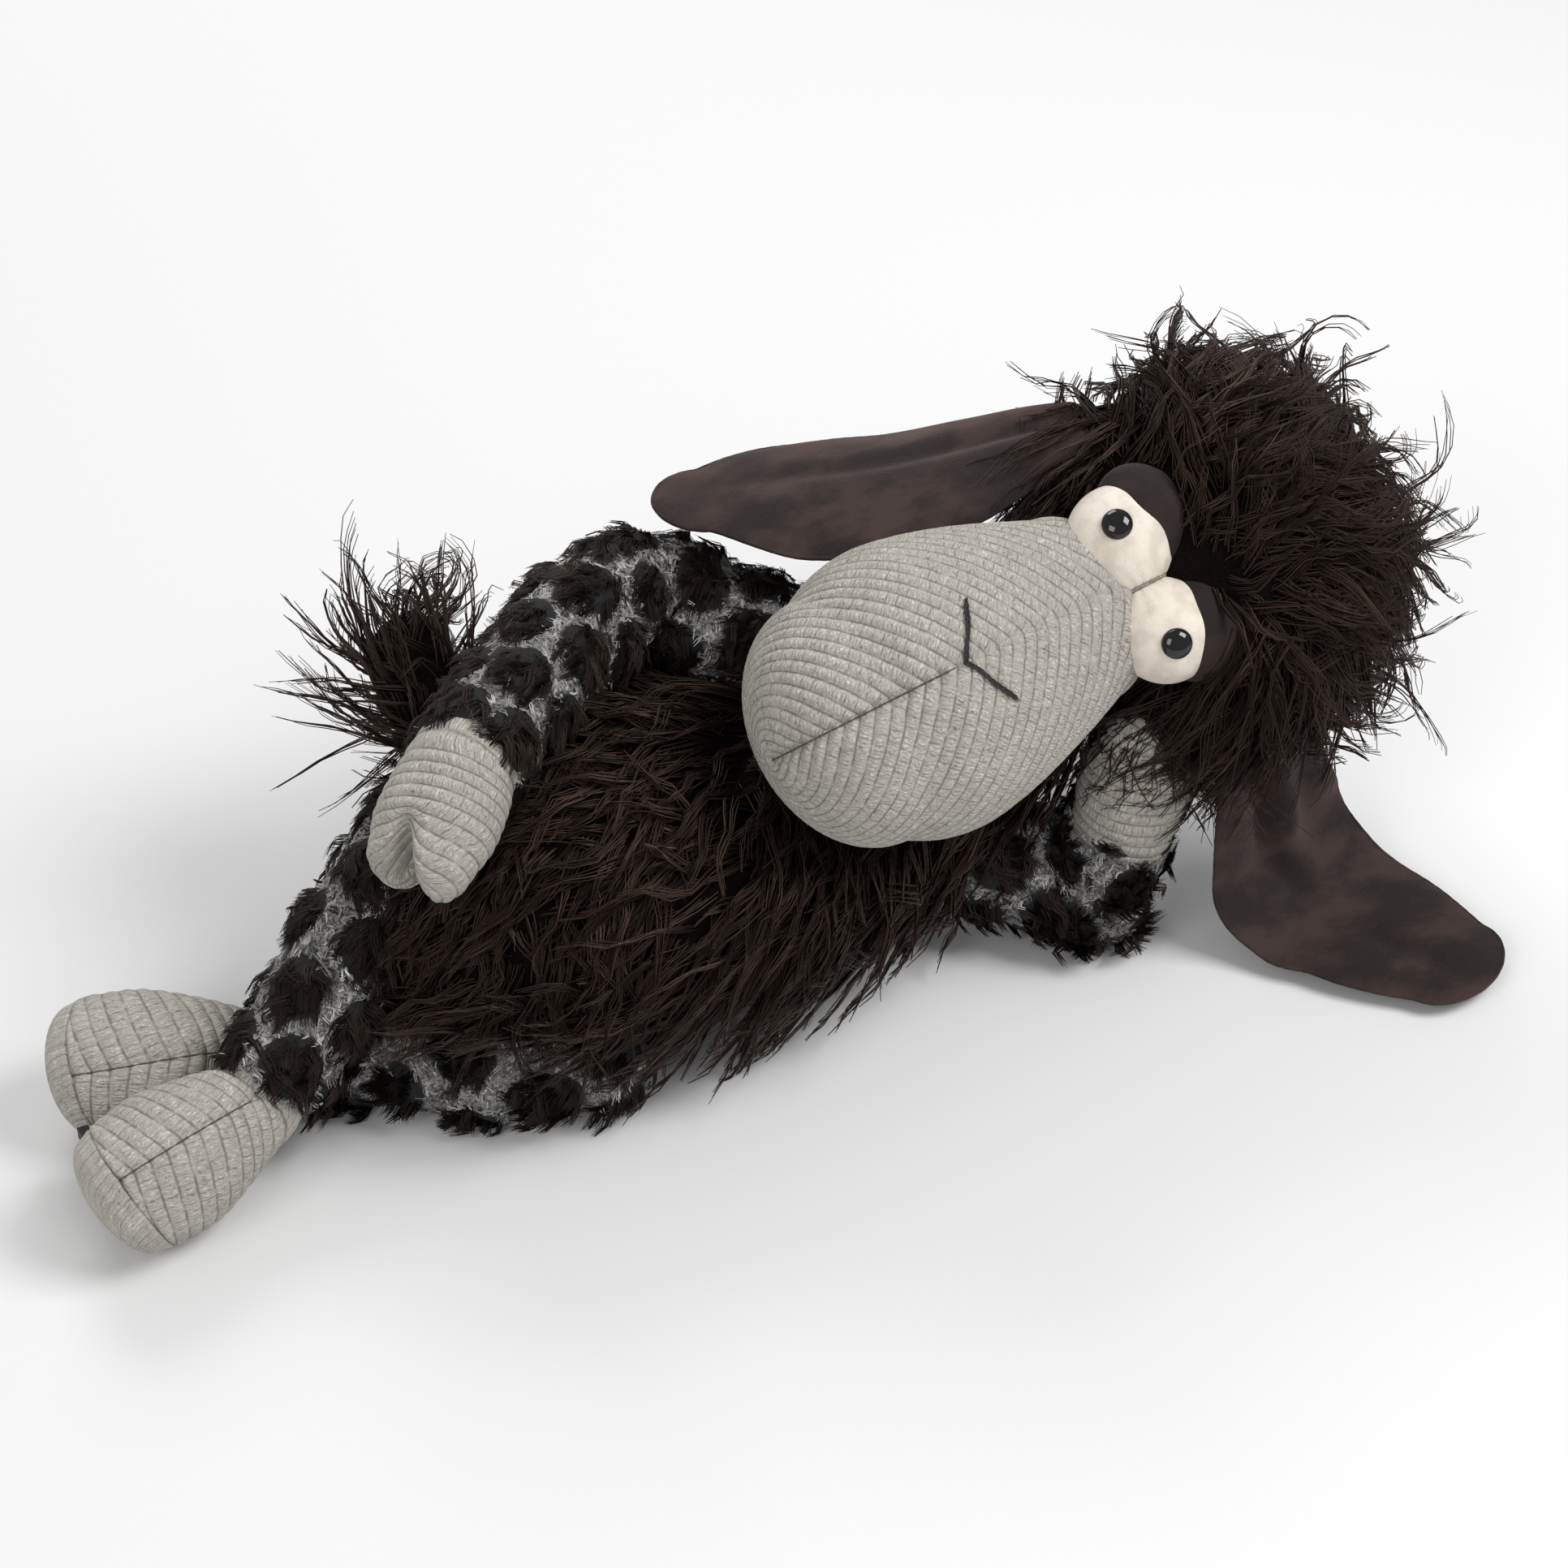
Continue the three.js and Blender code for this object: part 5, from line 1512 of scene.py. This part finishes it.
@dataclass
class Ears:
    """The long velour ears, bent along a crease, with a piped rim."""

    shapes: Shapes
    crease: float = 3.4
    rim: float = 0.7

    def bend(self, form: StuffedForm, distance: np.ndarray, turn: np.ndarray, cup: float, fold: float) -> np.ndarray:
        """Moves points across the ear's face.

        Args:
            form: The ear's form.
            distance: How far along it each point lies.
            turn: The point's turn round it.
            cup: How far the rims rise over the middle, in millimetres.
            fold: How deep the folds gathered near the root are, in millimetres.

        Returns:
            The way that each point moves.
        """
        halves = form.read(form.halves, distance)
        beside = halves[:, 0] * np.cos(turn)
        share = distance / form.profile[-1]
        full = np.sin(math.pi * np.clip(share * 1.1, 0, 1)) ** 0.7
        lift = cup * ((beside / EAR_HALF) ** 2 - 0.35) * full
        lift = lift - self.crease * np.exp(-((beside - 4) / 4.5) ** 2) * (1 - share) ** 0.8
        waves = 1.2 * np.sin(share * 9 + beside * 0.07) * (beside / EAR_HALF) ** 2
        gathered = fold * np.exp(-((share - 0.34) / 0.15) ** 2)
        spread = (beside + 5) * (0.34 - 0.3 * share)
        pinch = gathered * np.cos(spread) * np.exp(-((beside + 5) / 17) ** 2)
        return form.read(form.upward, distance) * (lift + waves + pinch)[:, None]

    def build(self) -> None:
        """Builds both ears with their rims."""
        nap = EarVelour().material()
        # the underside copy keeps the nap and dims the painted sheen: painted shade on the side facing down
        under = EarVelour(name="ear_velour_under", nap=linear(17, 13, 13), painted_sheen=linear(34, 26, 25)).material()
        right, left = self.shapes.right_ear, self.shapes.left_ear
        for word, form, cup, fold in (("right", right, -7.0, 0.4), ("left", left, 2.5, 3.4)):
            skin = form.skin(f"ear_{word}_velour", 112, 120)
            turn = skin.turn + math.pi / 2
            skin.places = skin.places + self.bend(form, skin.along, turn, cup, fold)
            skin.places[:, 2] = np.maximum(skin.places[:, 2], FLOOR_GAP)
            write_points(skin.data, skin.places)
            skin.shift(0.22 * drift(skin.places, 6, 0.5)[:, 2])
            nodes = [f"ear_{word}_outer", f"ear_{word}_lining"]
            seat(skin.piece, word + "_ear", [nap, under], nodes)
            self.dress_sides(skin)
            distance = np.linspace(form.profile[POLE_SAMPLES - 1] * 0.7, form.profile[-1], 120)
            lines = []
            for edge in (0.0, math.pi):
                turns = np.full(120, edge)
                line = form.surface(distance, turns, -0.4) + self.bend(form, distance, turns, cup, fold)
                line[:, 2] = np.maximum(line[:, 2], FLOOR_GAP + self.rim)
                lines.append(line)
            rim = tube(f"ear_{word}_rim", [np.vstack((lines[0][:-1], lines[1][::-1]))], self.rim, 0.05)
            seat(rim, word + "_ear", [nap])

    @staticmethod
    def dress_sides(skin: Skin) -> None:
        """Gives the faces of the ear's underside the second finish, the copy with the dimmer painted sheen."""
        data = skin.data
        below = np.cos(skin.turn) < -0.02
        corner, start, _ = read_corners(data)
        data.polygons.foreach_set("material_index", below[corner[start]].astype(np.int32))
        data.update()


@dataclass
class Sleeve:
    """One plush limb piece: cloth with discs, and the curly pile on it."""

    name: str
    form: StuffedForm
    body: str
    columns: int
    rings: int
    fibres: int
    pitch: float = 23.0
    disc: float = 9.6
    creases: Sequence[tuple[float, float]] = ()

    def dots(self, skin: Skin) -> np.ndarray:
        """Returns how far each point lies outside the nearest disc, in millimetres, on a staggered layout."""
        girth = 2 * math.pi * float(np.median(skin.radius))
        count = max(3, round(girth / self.pitch))
        row = self.pitch * 0.87
        nearest = np.full(len(skin.along), 1e3)
        base = np.round(skin.along / row)
        for step in (-1, 0, 1):
            at = base + step
            turn = skin.turn / (2 * math.pi) * count + 0.5 * (at % 2)
            aside = (turn - np.round(turn)) / count * 2 * math.pi * skin.radius
            nearest = np.minimum(nearest, np.hypot(aside, skin.along - at * row))
        return nearest - self.disc

    def build(self, finishes: tuple[bpy.types.Material, ...], rng: np.random.Generator) -> None:
        """Builds the sleeve.

        Args:
            finishes: The materials of the cloth, the curls and the tufts.
            rng: The random source.
        """
        skin = self.form.skin(self.name + "_plush", self.columns, self.rings)
        dots = self.dots(skin)
        keep_numbers(skin.data, "dot", dots)
        raised = 2.0 * np.clip((1.0 - dots) / 4.0, 0, 1)
        folds = sum(
            (-1.6 * np.exp(-((skin.along - place) / 5) ** 2) * np.clip(np.cos(skin.turn - turn), 0, 1)
             for place, turn in self.creases), np.zeros(len(dots)),
        )
        skin.shift(raised + folds + 0.35 * drift(skin.places, 4, 0.3)[:, 0])
        seat(skin.piece, self.body, [finishes[0]], [self.name])
        roots, normals, dot = skin.scatter(self.fibres, rng, dots)
        shown = normals[:, 2] > -0.8
        curls = LockStyle(
            length=3.2, uneven=0.4, lift=36, droop=0, sway=1.5, wave=0.7, cycles=0.9, thick=0.5,
            strands=3, patch=0.6, gather=0, points=4, flat=True,
        )
        pile = Coat(self.name + "_curls", curls, rng, self.form)
        grey = shown & (dot > -0.6)
        strands = pile.grow(roots[grey], normals[grey], unit(rng.normal(size=(int(grey.sum()), 3))))
        seat(pile.spin(strands), self.body, [finishes[1]])
        tufts = LockStyle(
            length=7.5, uneven=0.35, lift=50, droop=0.25, sway=0.4, wave=0.5, cycles=0.8, thick=0.4,
            strands=15, patch=1.7, gather=0.3, points=3, flat=True,
        )
        pile = Coat(self.name + "_tufts", tufts, rng, self.form)
        black = np.flatnonzero(shown & (dot < -1.6))
        black = black[:len(black) // 3]
        flows = self.form.read(self.form.tangents, self.form.profile[-1] * 0.5) + 0.5 * drift(roots[black], 12, 0.6)
        strands = pile.grow(roots[black], normals[black], flows + 0.5 * DOWN)
        seat(pile.spin(strands), self.body, [finishes[2]])


@dataclass
class KnitEnd:
    """A knitted hoof or foot: ribs round it, a cleft in a hoof's tip and an instep seam on a foot."""

    part: str
    kind: str
    form: StuffedForm
    body: str
    ribs: Ribbing
    cleft: float = 0.0
    seam: float = 0.0
    uneven: float = 0.0
    facets: tuple[int, int] = (150, 100)
    cleft_width: float = 3.6
    toe_width: float = 9.0
    tip_start: float = 0.58
    tip_run: float = 0.34

    def build(self, knit: bpy.types.Material, seam_thread: bpy.types.Material) -> None:
        """Builds the cover with its relief, and the thread of its seam."""
        name, node = self.part + "_knit", "_".join(filter(None, (self.part, self.kind)))
        skin = self.form.skin(name, *self.facets)
        relief, around = self.ribs.lay(skin)
        total = self.form.profile[-1]
        tip = np.clip((skin.along - total * self.tip_start) / (total * self.tip_run), 0, 1)
        tip = tip * tip * (3 - 2 * tip)
        beside = np.sin(skin.turn) * skin.radius
        cleft = self.cleft * np.exp(-(beside / self.cleft_width) ** 2)
        toe = self.uneven * np.clip(-beside / self.toe_width, 0, 1)
        skin.slide(-self.form.tangents[-1], tip * (cleft - toe))
        relief = relief - self.seam * np.exp(-(around / 1.2) ** 2)
        skin.shift(relief)
        seat(skin.piece, self.body, [knit], [node])
        if self.seam:
            run = np.linspace(0.3, 0.86, 70) * total
            turn = math.pi / 2 + math.radians(self.ribs.middle)
            line = self.form.surface(run, np.full(70, turn), 0.1 - self.seam)
            seat(tube(name + "_seam", [line], 0.25, 0.3), self.body, [seam_thread])


@dataclass
class Limbs:
    """The four limbs: dotted sleeves, knitted hooves and feet with their soles."""

    shapes: Shapes
    knit: bpy.types.Material
    rng: np.random.Generator
    sole_thick: float = 3.0
    tab_root: tuple[float, float, float] = (0.002, -0.0065, 0.0)

    def sole(self, foot: StuffedForm) -> StuffedForm:
        """Returns the form of the sole on a foot's end, which bulges a little."""
        at = foot.places[-POLE_SAMPLES]
        way = foot.tangents[-1]
        rows = [(*(at + way * (1.6 + self.sole_thick * k / 2)), 20.4 - 0.5 * k, 20.4 - 0.5 * k) for k in range(3)]
        return StuffedForm(rows, foot.side, 2.4, 9.0)

    def build(self) -> None:
        """Builds sleeves, hooves, feet, soles and the seam tab."""
        shapes = self.shapes
        plush = DottedPlush()
        finishes = (plush.backing(), plush.curls(), plush.tufts())
        for sleeve in (
            Sleeve(
                "right_arm_sleeve", shapes.right_sleeve, "right_arm", 96, 180, 10800,
                creases=((78, 0.6), (92, -0.9), (110, 0.2)),
            ),
            Sleeve("left_upper_arm_sleeve", shapes.left_upper, "left_arm", 84, 70, 3300),
            Sleeve("left_forearm_sleeve", shapes.left_fore, "left_forearm", 84, 60, 2700),
            Sleeve("right_leg_sleeve", shapes.right_leg, "right_leg", 84, 100, 5400, creases=((52, 0.4), (70, -0.5))),
            Sleeve("left_leg_sleeve", shapes.left_leg, "left_leg", 84, 100, 5200, creases=((60, 0.3),)),
        ):
            sleeve.build(finishes, self.rng)
        seam_thread = Thread(name="seam_thread", dark=linear(60, 54, 49), light=linear(104, 96, 88)).material()
        hoof = Ribbing(pitch=4.0, relief=0.5)
        right, left = Ribbing(slant=14, middle=35), Ribbing(slant=14, middle=45)
        sole = Ribbing(pitch=90.0, relief=0.0)
        for end in (
            KnitEnd("right_hoof", "cover", shapes.right_hoof, "right_arm", hoof, cleft=12.0, uneven=4.0),
            KnitEnd("left_hoof", "cover", shapes.left_hoof, "left_forearm", hoof, cleft=6.5),
            KnitEnd("right_foot", "cover", shapes.right_foot, "right_leg", right, seam=0.8),
            KnitEnd("left_foot", "cover", shapes.left_foot, "left_leg", left, seam=0.8),
            KnitEnd("right_sole", "", self.sole(shapes.right_foot), "right_leg", sole, facets=(96, 60)),
            KnitEnd("left_sole", "", self.sole(shapes.left_foot), "left_leg", sole, facets=(96, 60)),
        ):
            end.build(self.knit, seam_thread)
        self.build_tab()

    def build_tab(self) -> None:
        """Builds the small folded cloth tab sewn into the sole's seam."""
        low, high = (np.array(corner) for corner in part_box("seam_tab"))
        shape = bmesh.new()
        bmesh.ops.create_cube(shape, size=1.0)
        bmesh.ops.scale(shape, vec=tuple(high - low), verts=shape.verts)
        bmesh.ops.translate(shape, vec=tuple((low + high) / 2), verts=shape.verts)
        inner = [corner for corner in shape.verts if corner.co.y < (low[1] + high[1]) / 2]
        bmesh.ops.translate(shape, vec=self.tab_root, verts=inner)
        bmesh.ops.subdivide_edges(shape, edges=shape.edges, cuts=3, use_grid_fill=True)
        bmesh.ops.bevel(
            shape, geom=shape.edges, offset=0.00012, affect="EDGES", segments=1, profile=0.5, material=-1,
        )
        data = bpy.data.meshes.new("seam_tab_cloth")
        shape.to_mesh(data)
        shape.free()
        piece = link_mesh("seam_tab_cloth", data)
        finish = Thread(name="tab_cloth").material()
        seat(piece, "right_leg", [finish], ["seam_tab"])


@dataclass
class Insides:
    """The stuffing, the pellet pouch and the eye washers, which keep their solids and get a finish."""

    fibre: Filling = Filling(Slot.STUFFING, linear(236, 234, 228), linear(204, 201, 194), 2.4, 0.8, 0.95)
    cotton: Filling = Filling(Slot.COTTON, linear(226, 218, 202), linear(196, 187, 170), 0.7, 0.3, 0.9)
    plastic: Filling = Filling(Slot.PLASTIC, linear(222, 222, 220), linear(206, 206, 205), 3.0, 0.05, 0.45)

    def build(self) -> None:
        """Dresses the inner solids."""
        fibre, cotton, plastic = (filling.material() for filling in (self.fibre, self.cotton, self.plastic))
        for name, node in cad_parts.items():
            if name.endswith("stuffing"):
                self.dress(node, fibre)
            elif name == "seat_pellet_pouch":
                self.dress(node, cotton)
            elif name.startswith("eye_washer"):
                self.dress(node, plastic)

    @staticmethod
    def dress(node: bpy.types.Object, finish: bpy.types.Material) -> None:
        """Gives a solid its finish."""
        for holder in node.material_slots:
            holder.material = finish


@dataclass
class Studio:
    """Floor, lamps and camera. Sizes are in metres, angles in degrees."""

    azimuth: float = -25.0
    elevation: float = 40.0
    lens: float = 85.0
    distance: float = 1.0956
    target: tuple[float, float, float] = (0.0244, -0.0064, 0.0707)
    floor: Colour = linear(226, 226, 226)

    def build(self) -> None:
        """Builds the studio round the toy."""
        self.build_floor()
        self.build_lamps()
        self.build_camera()

    def build_floor(self) -> None:
        """Lays a wide, flat, pale floor."""
        shape = bmesh.new()
        bmesh.ops.create_grid(shape, x_segments=2, y_segments=2, size=6.0)
        data = bpy.data.meshes.new("studio_floor")
        shape.to_mesh(data)
        shape.free()
        floor = link_mesh("studio_floor", data)
        recipe = Recipe("studio_paper")
        grain = recipe.noise(3.0, 2)
        colour = recipe.blend(grain * 0.3, self.floor, linear(222, 222, 222))
        floor.data.materials.append(recipe.dress(Base_Color=colour, Roughness=0.9, Specular_IOR_Level=0.1))

    def lamp(self, name: str, place: tuple[float, float, float], size: float, power: float) -> None:
        """Adds one soft square lamp that faces the toy."""
        data = bpy.data.lights.new(name, "AREA")
        data.shape = "SQUARE"
        data.size = size
        data.energy = power
        lamp = bpy.data.objects.new(name, data)
        lamp.location = place
        away = Vector(place) - Vector(self.target)
        lamp.rotation_euler = away.to_track_quat("Z", "Y").to_euler()
        bpy.context.scene.collection.objects.link(lamp)

    def build_lamps(self) -> None:
        """Adds two soft boxes, a soft top lamp and an even room light."""
        self.lamp("soft_box_key", (0.75, -0.55, 1.15), 0.7, 15.0)
        self.lamp("soft_box_fill", (-1.15, -0.75, 0.95), 0.8, 8.0)
        self.lamp("soft_box_back", (0.1, 1.2, 1.1), 0.8, 10.0)
        world = bpy.data.worlds.new("soft_room")
        world.use_nodes = True
        background = world.node_tree.nodes["Background"]
        background.inputs["Color"].default_value = (1, 1, 1, 1)
        background.inputs["Strength"].default_value = 0.42
        bpy.context.scene.world = world

    def build_camera(self) -> None:
        """Sets the camera at the photograph's angle."""
        turn, rise = math.radians(self.azimuth), math.radians(self.elevation)
        back = Vector((math.sin(turn) * math.cos(rise), -math.cos(turn) * math.cos(rise), math.sin(rise)))
        data = bpy.data.cameras.new("camera")
        data.lens = self.lens
        data.sensor_width = 36.0
        camera = bpy.data.objects.new("camera", data)
        camera.location = Vector(self.target) + back * self.distance
        camera.rotation_euler = back.to_track_quat("Z", "Y").to_euler()
        bpy.context.scene.collection.objects.link(camera)
        bpy.context.scene.camera = camera
        bpy.context.scene.view_settings.view_transform = "Standard"


def main() -> None:
    """Builds the sheep and its studio."""
    logging.basicConfig(level=logging.INFO, format="%(name)s: %(message)s")
    rng = np.random.default_rng(SEED)
    shapes = Shapes()
    fur = ShaggyFur()
    knit = RibKnit().material()
    for part in (
        Studio(), Insides(), Muzzle(shapes, knit), Eyes(shapes), Ears(shapes), Limbs(shapes, knit, rng),
        Torso(shapes, fur, rng), HeadFur(shapes, fur, rng),
    ):
        part.build()


if __name__ == "__main__":
    main()
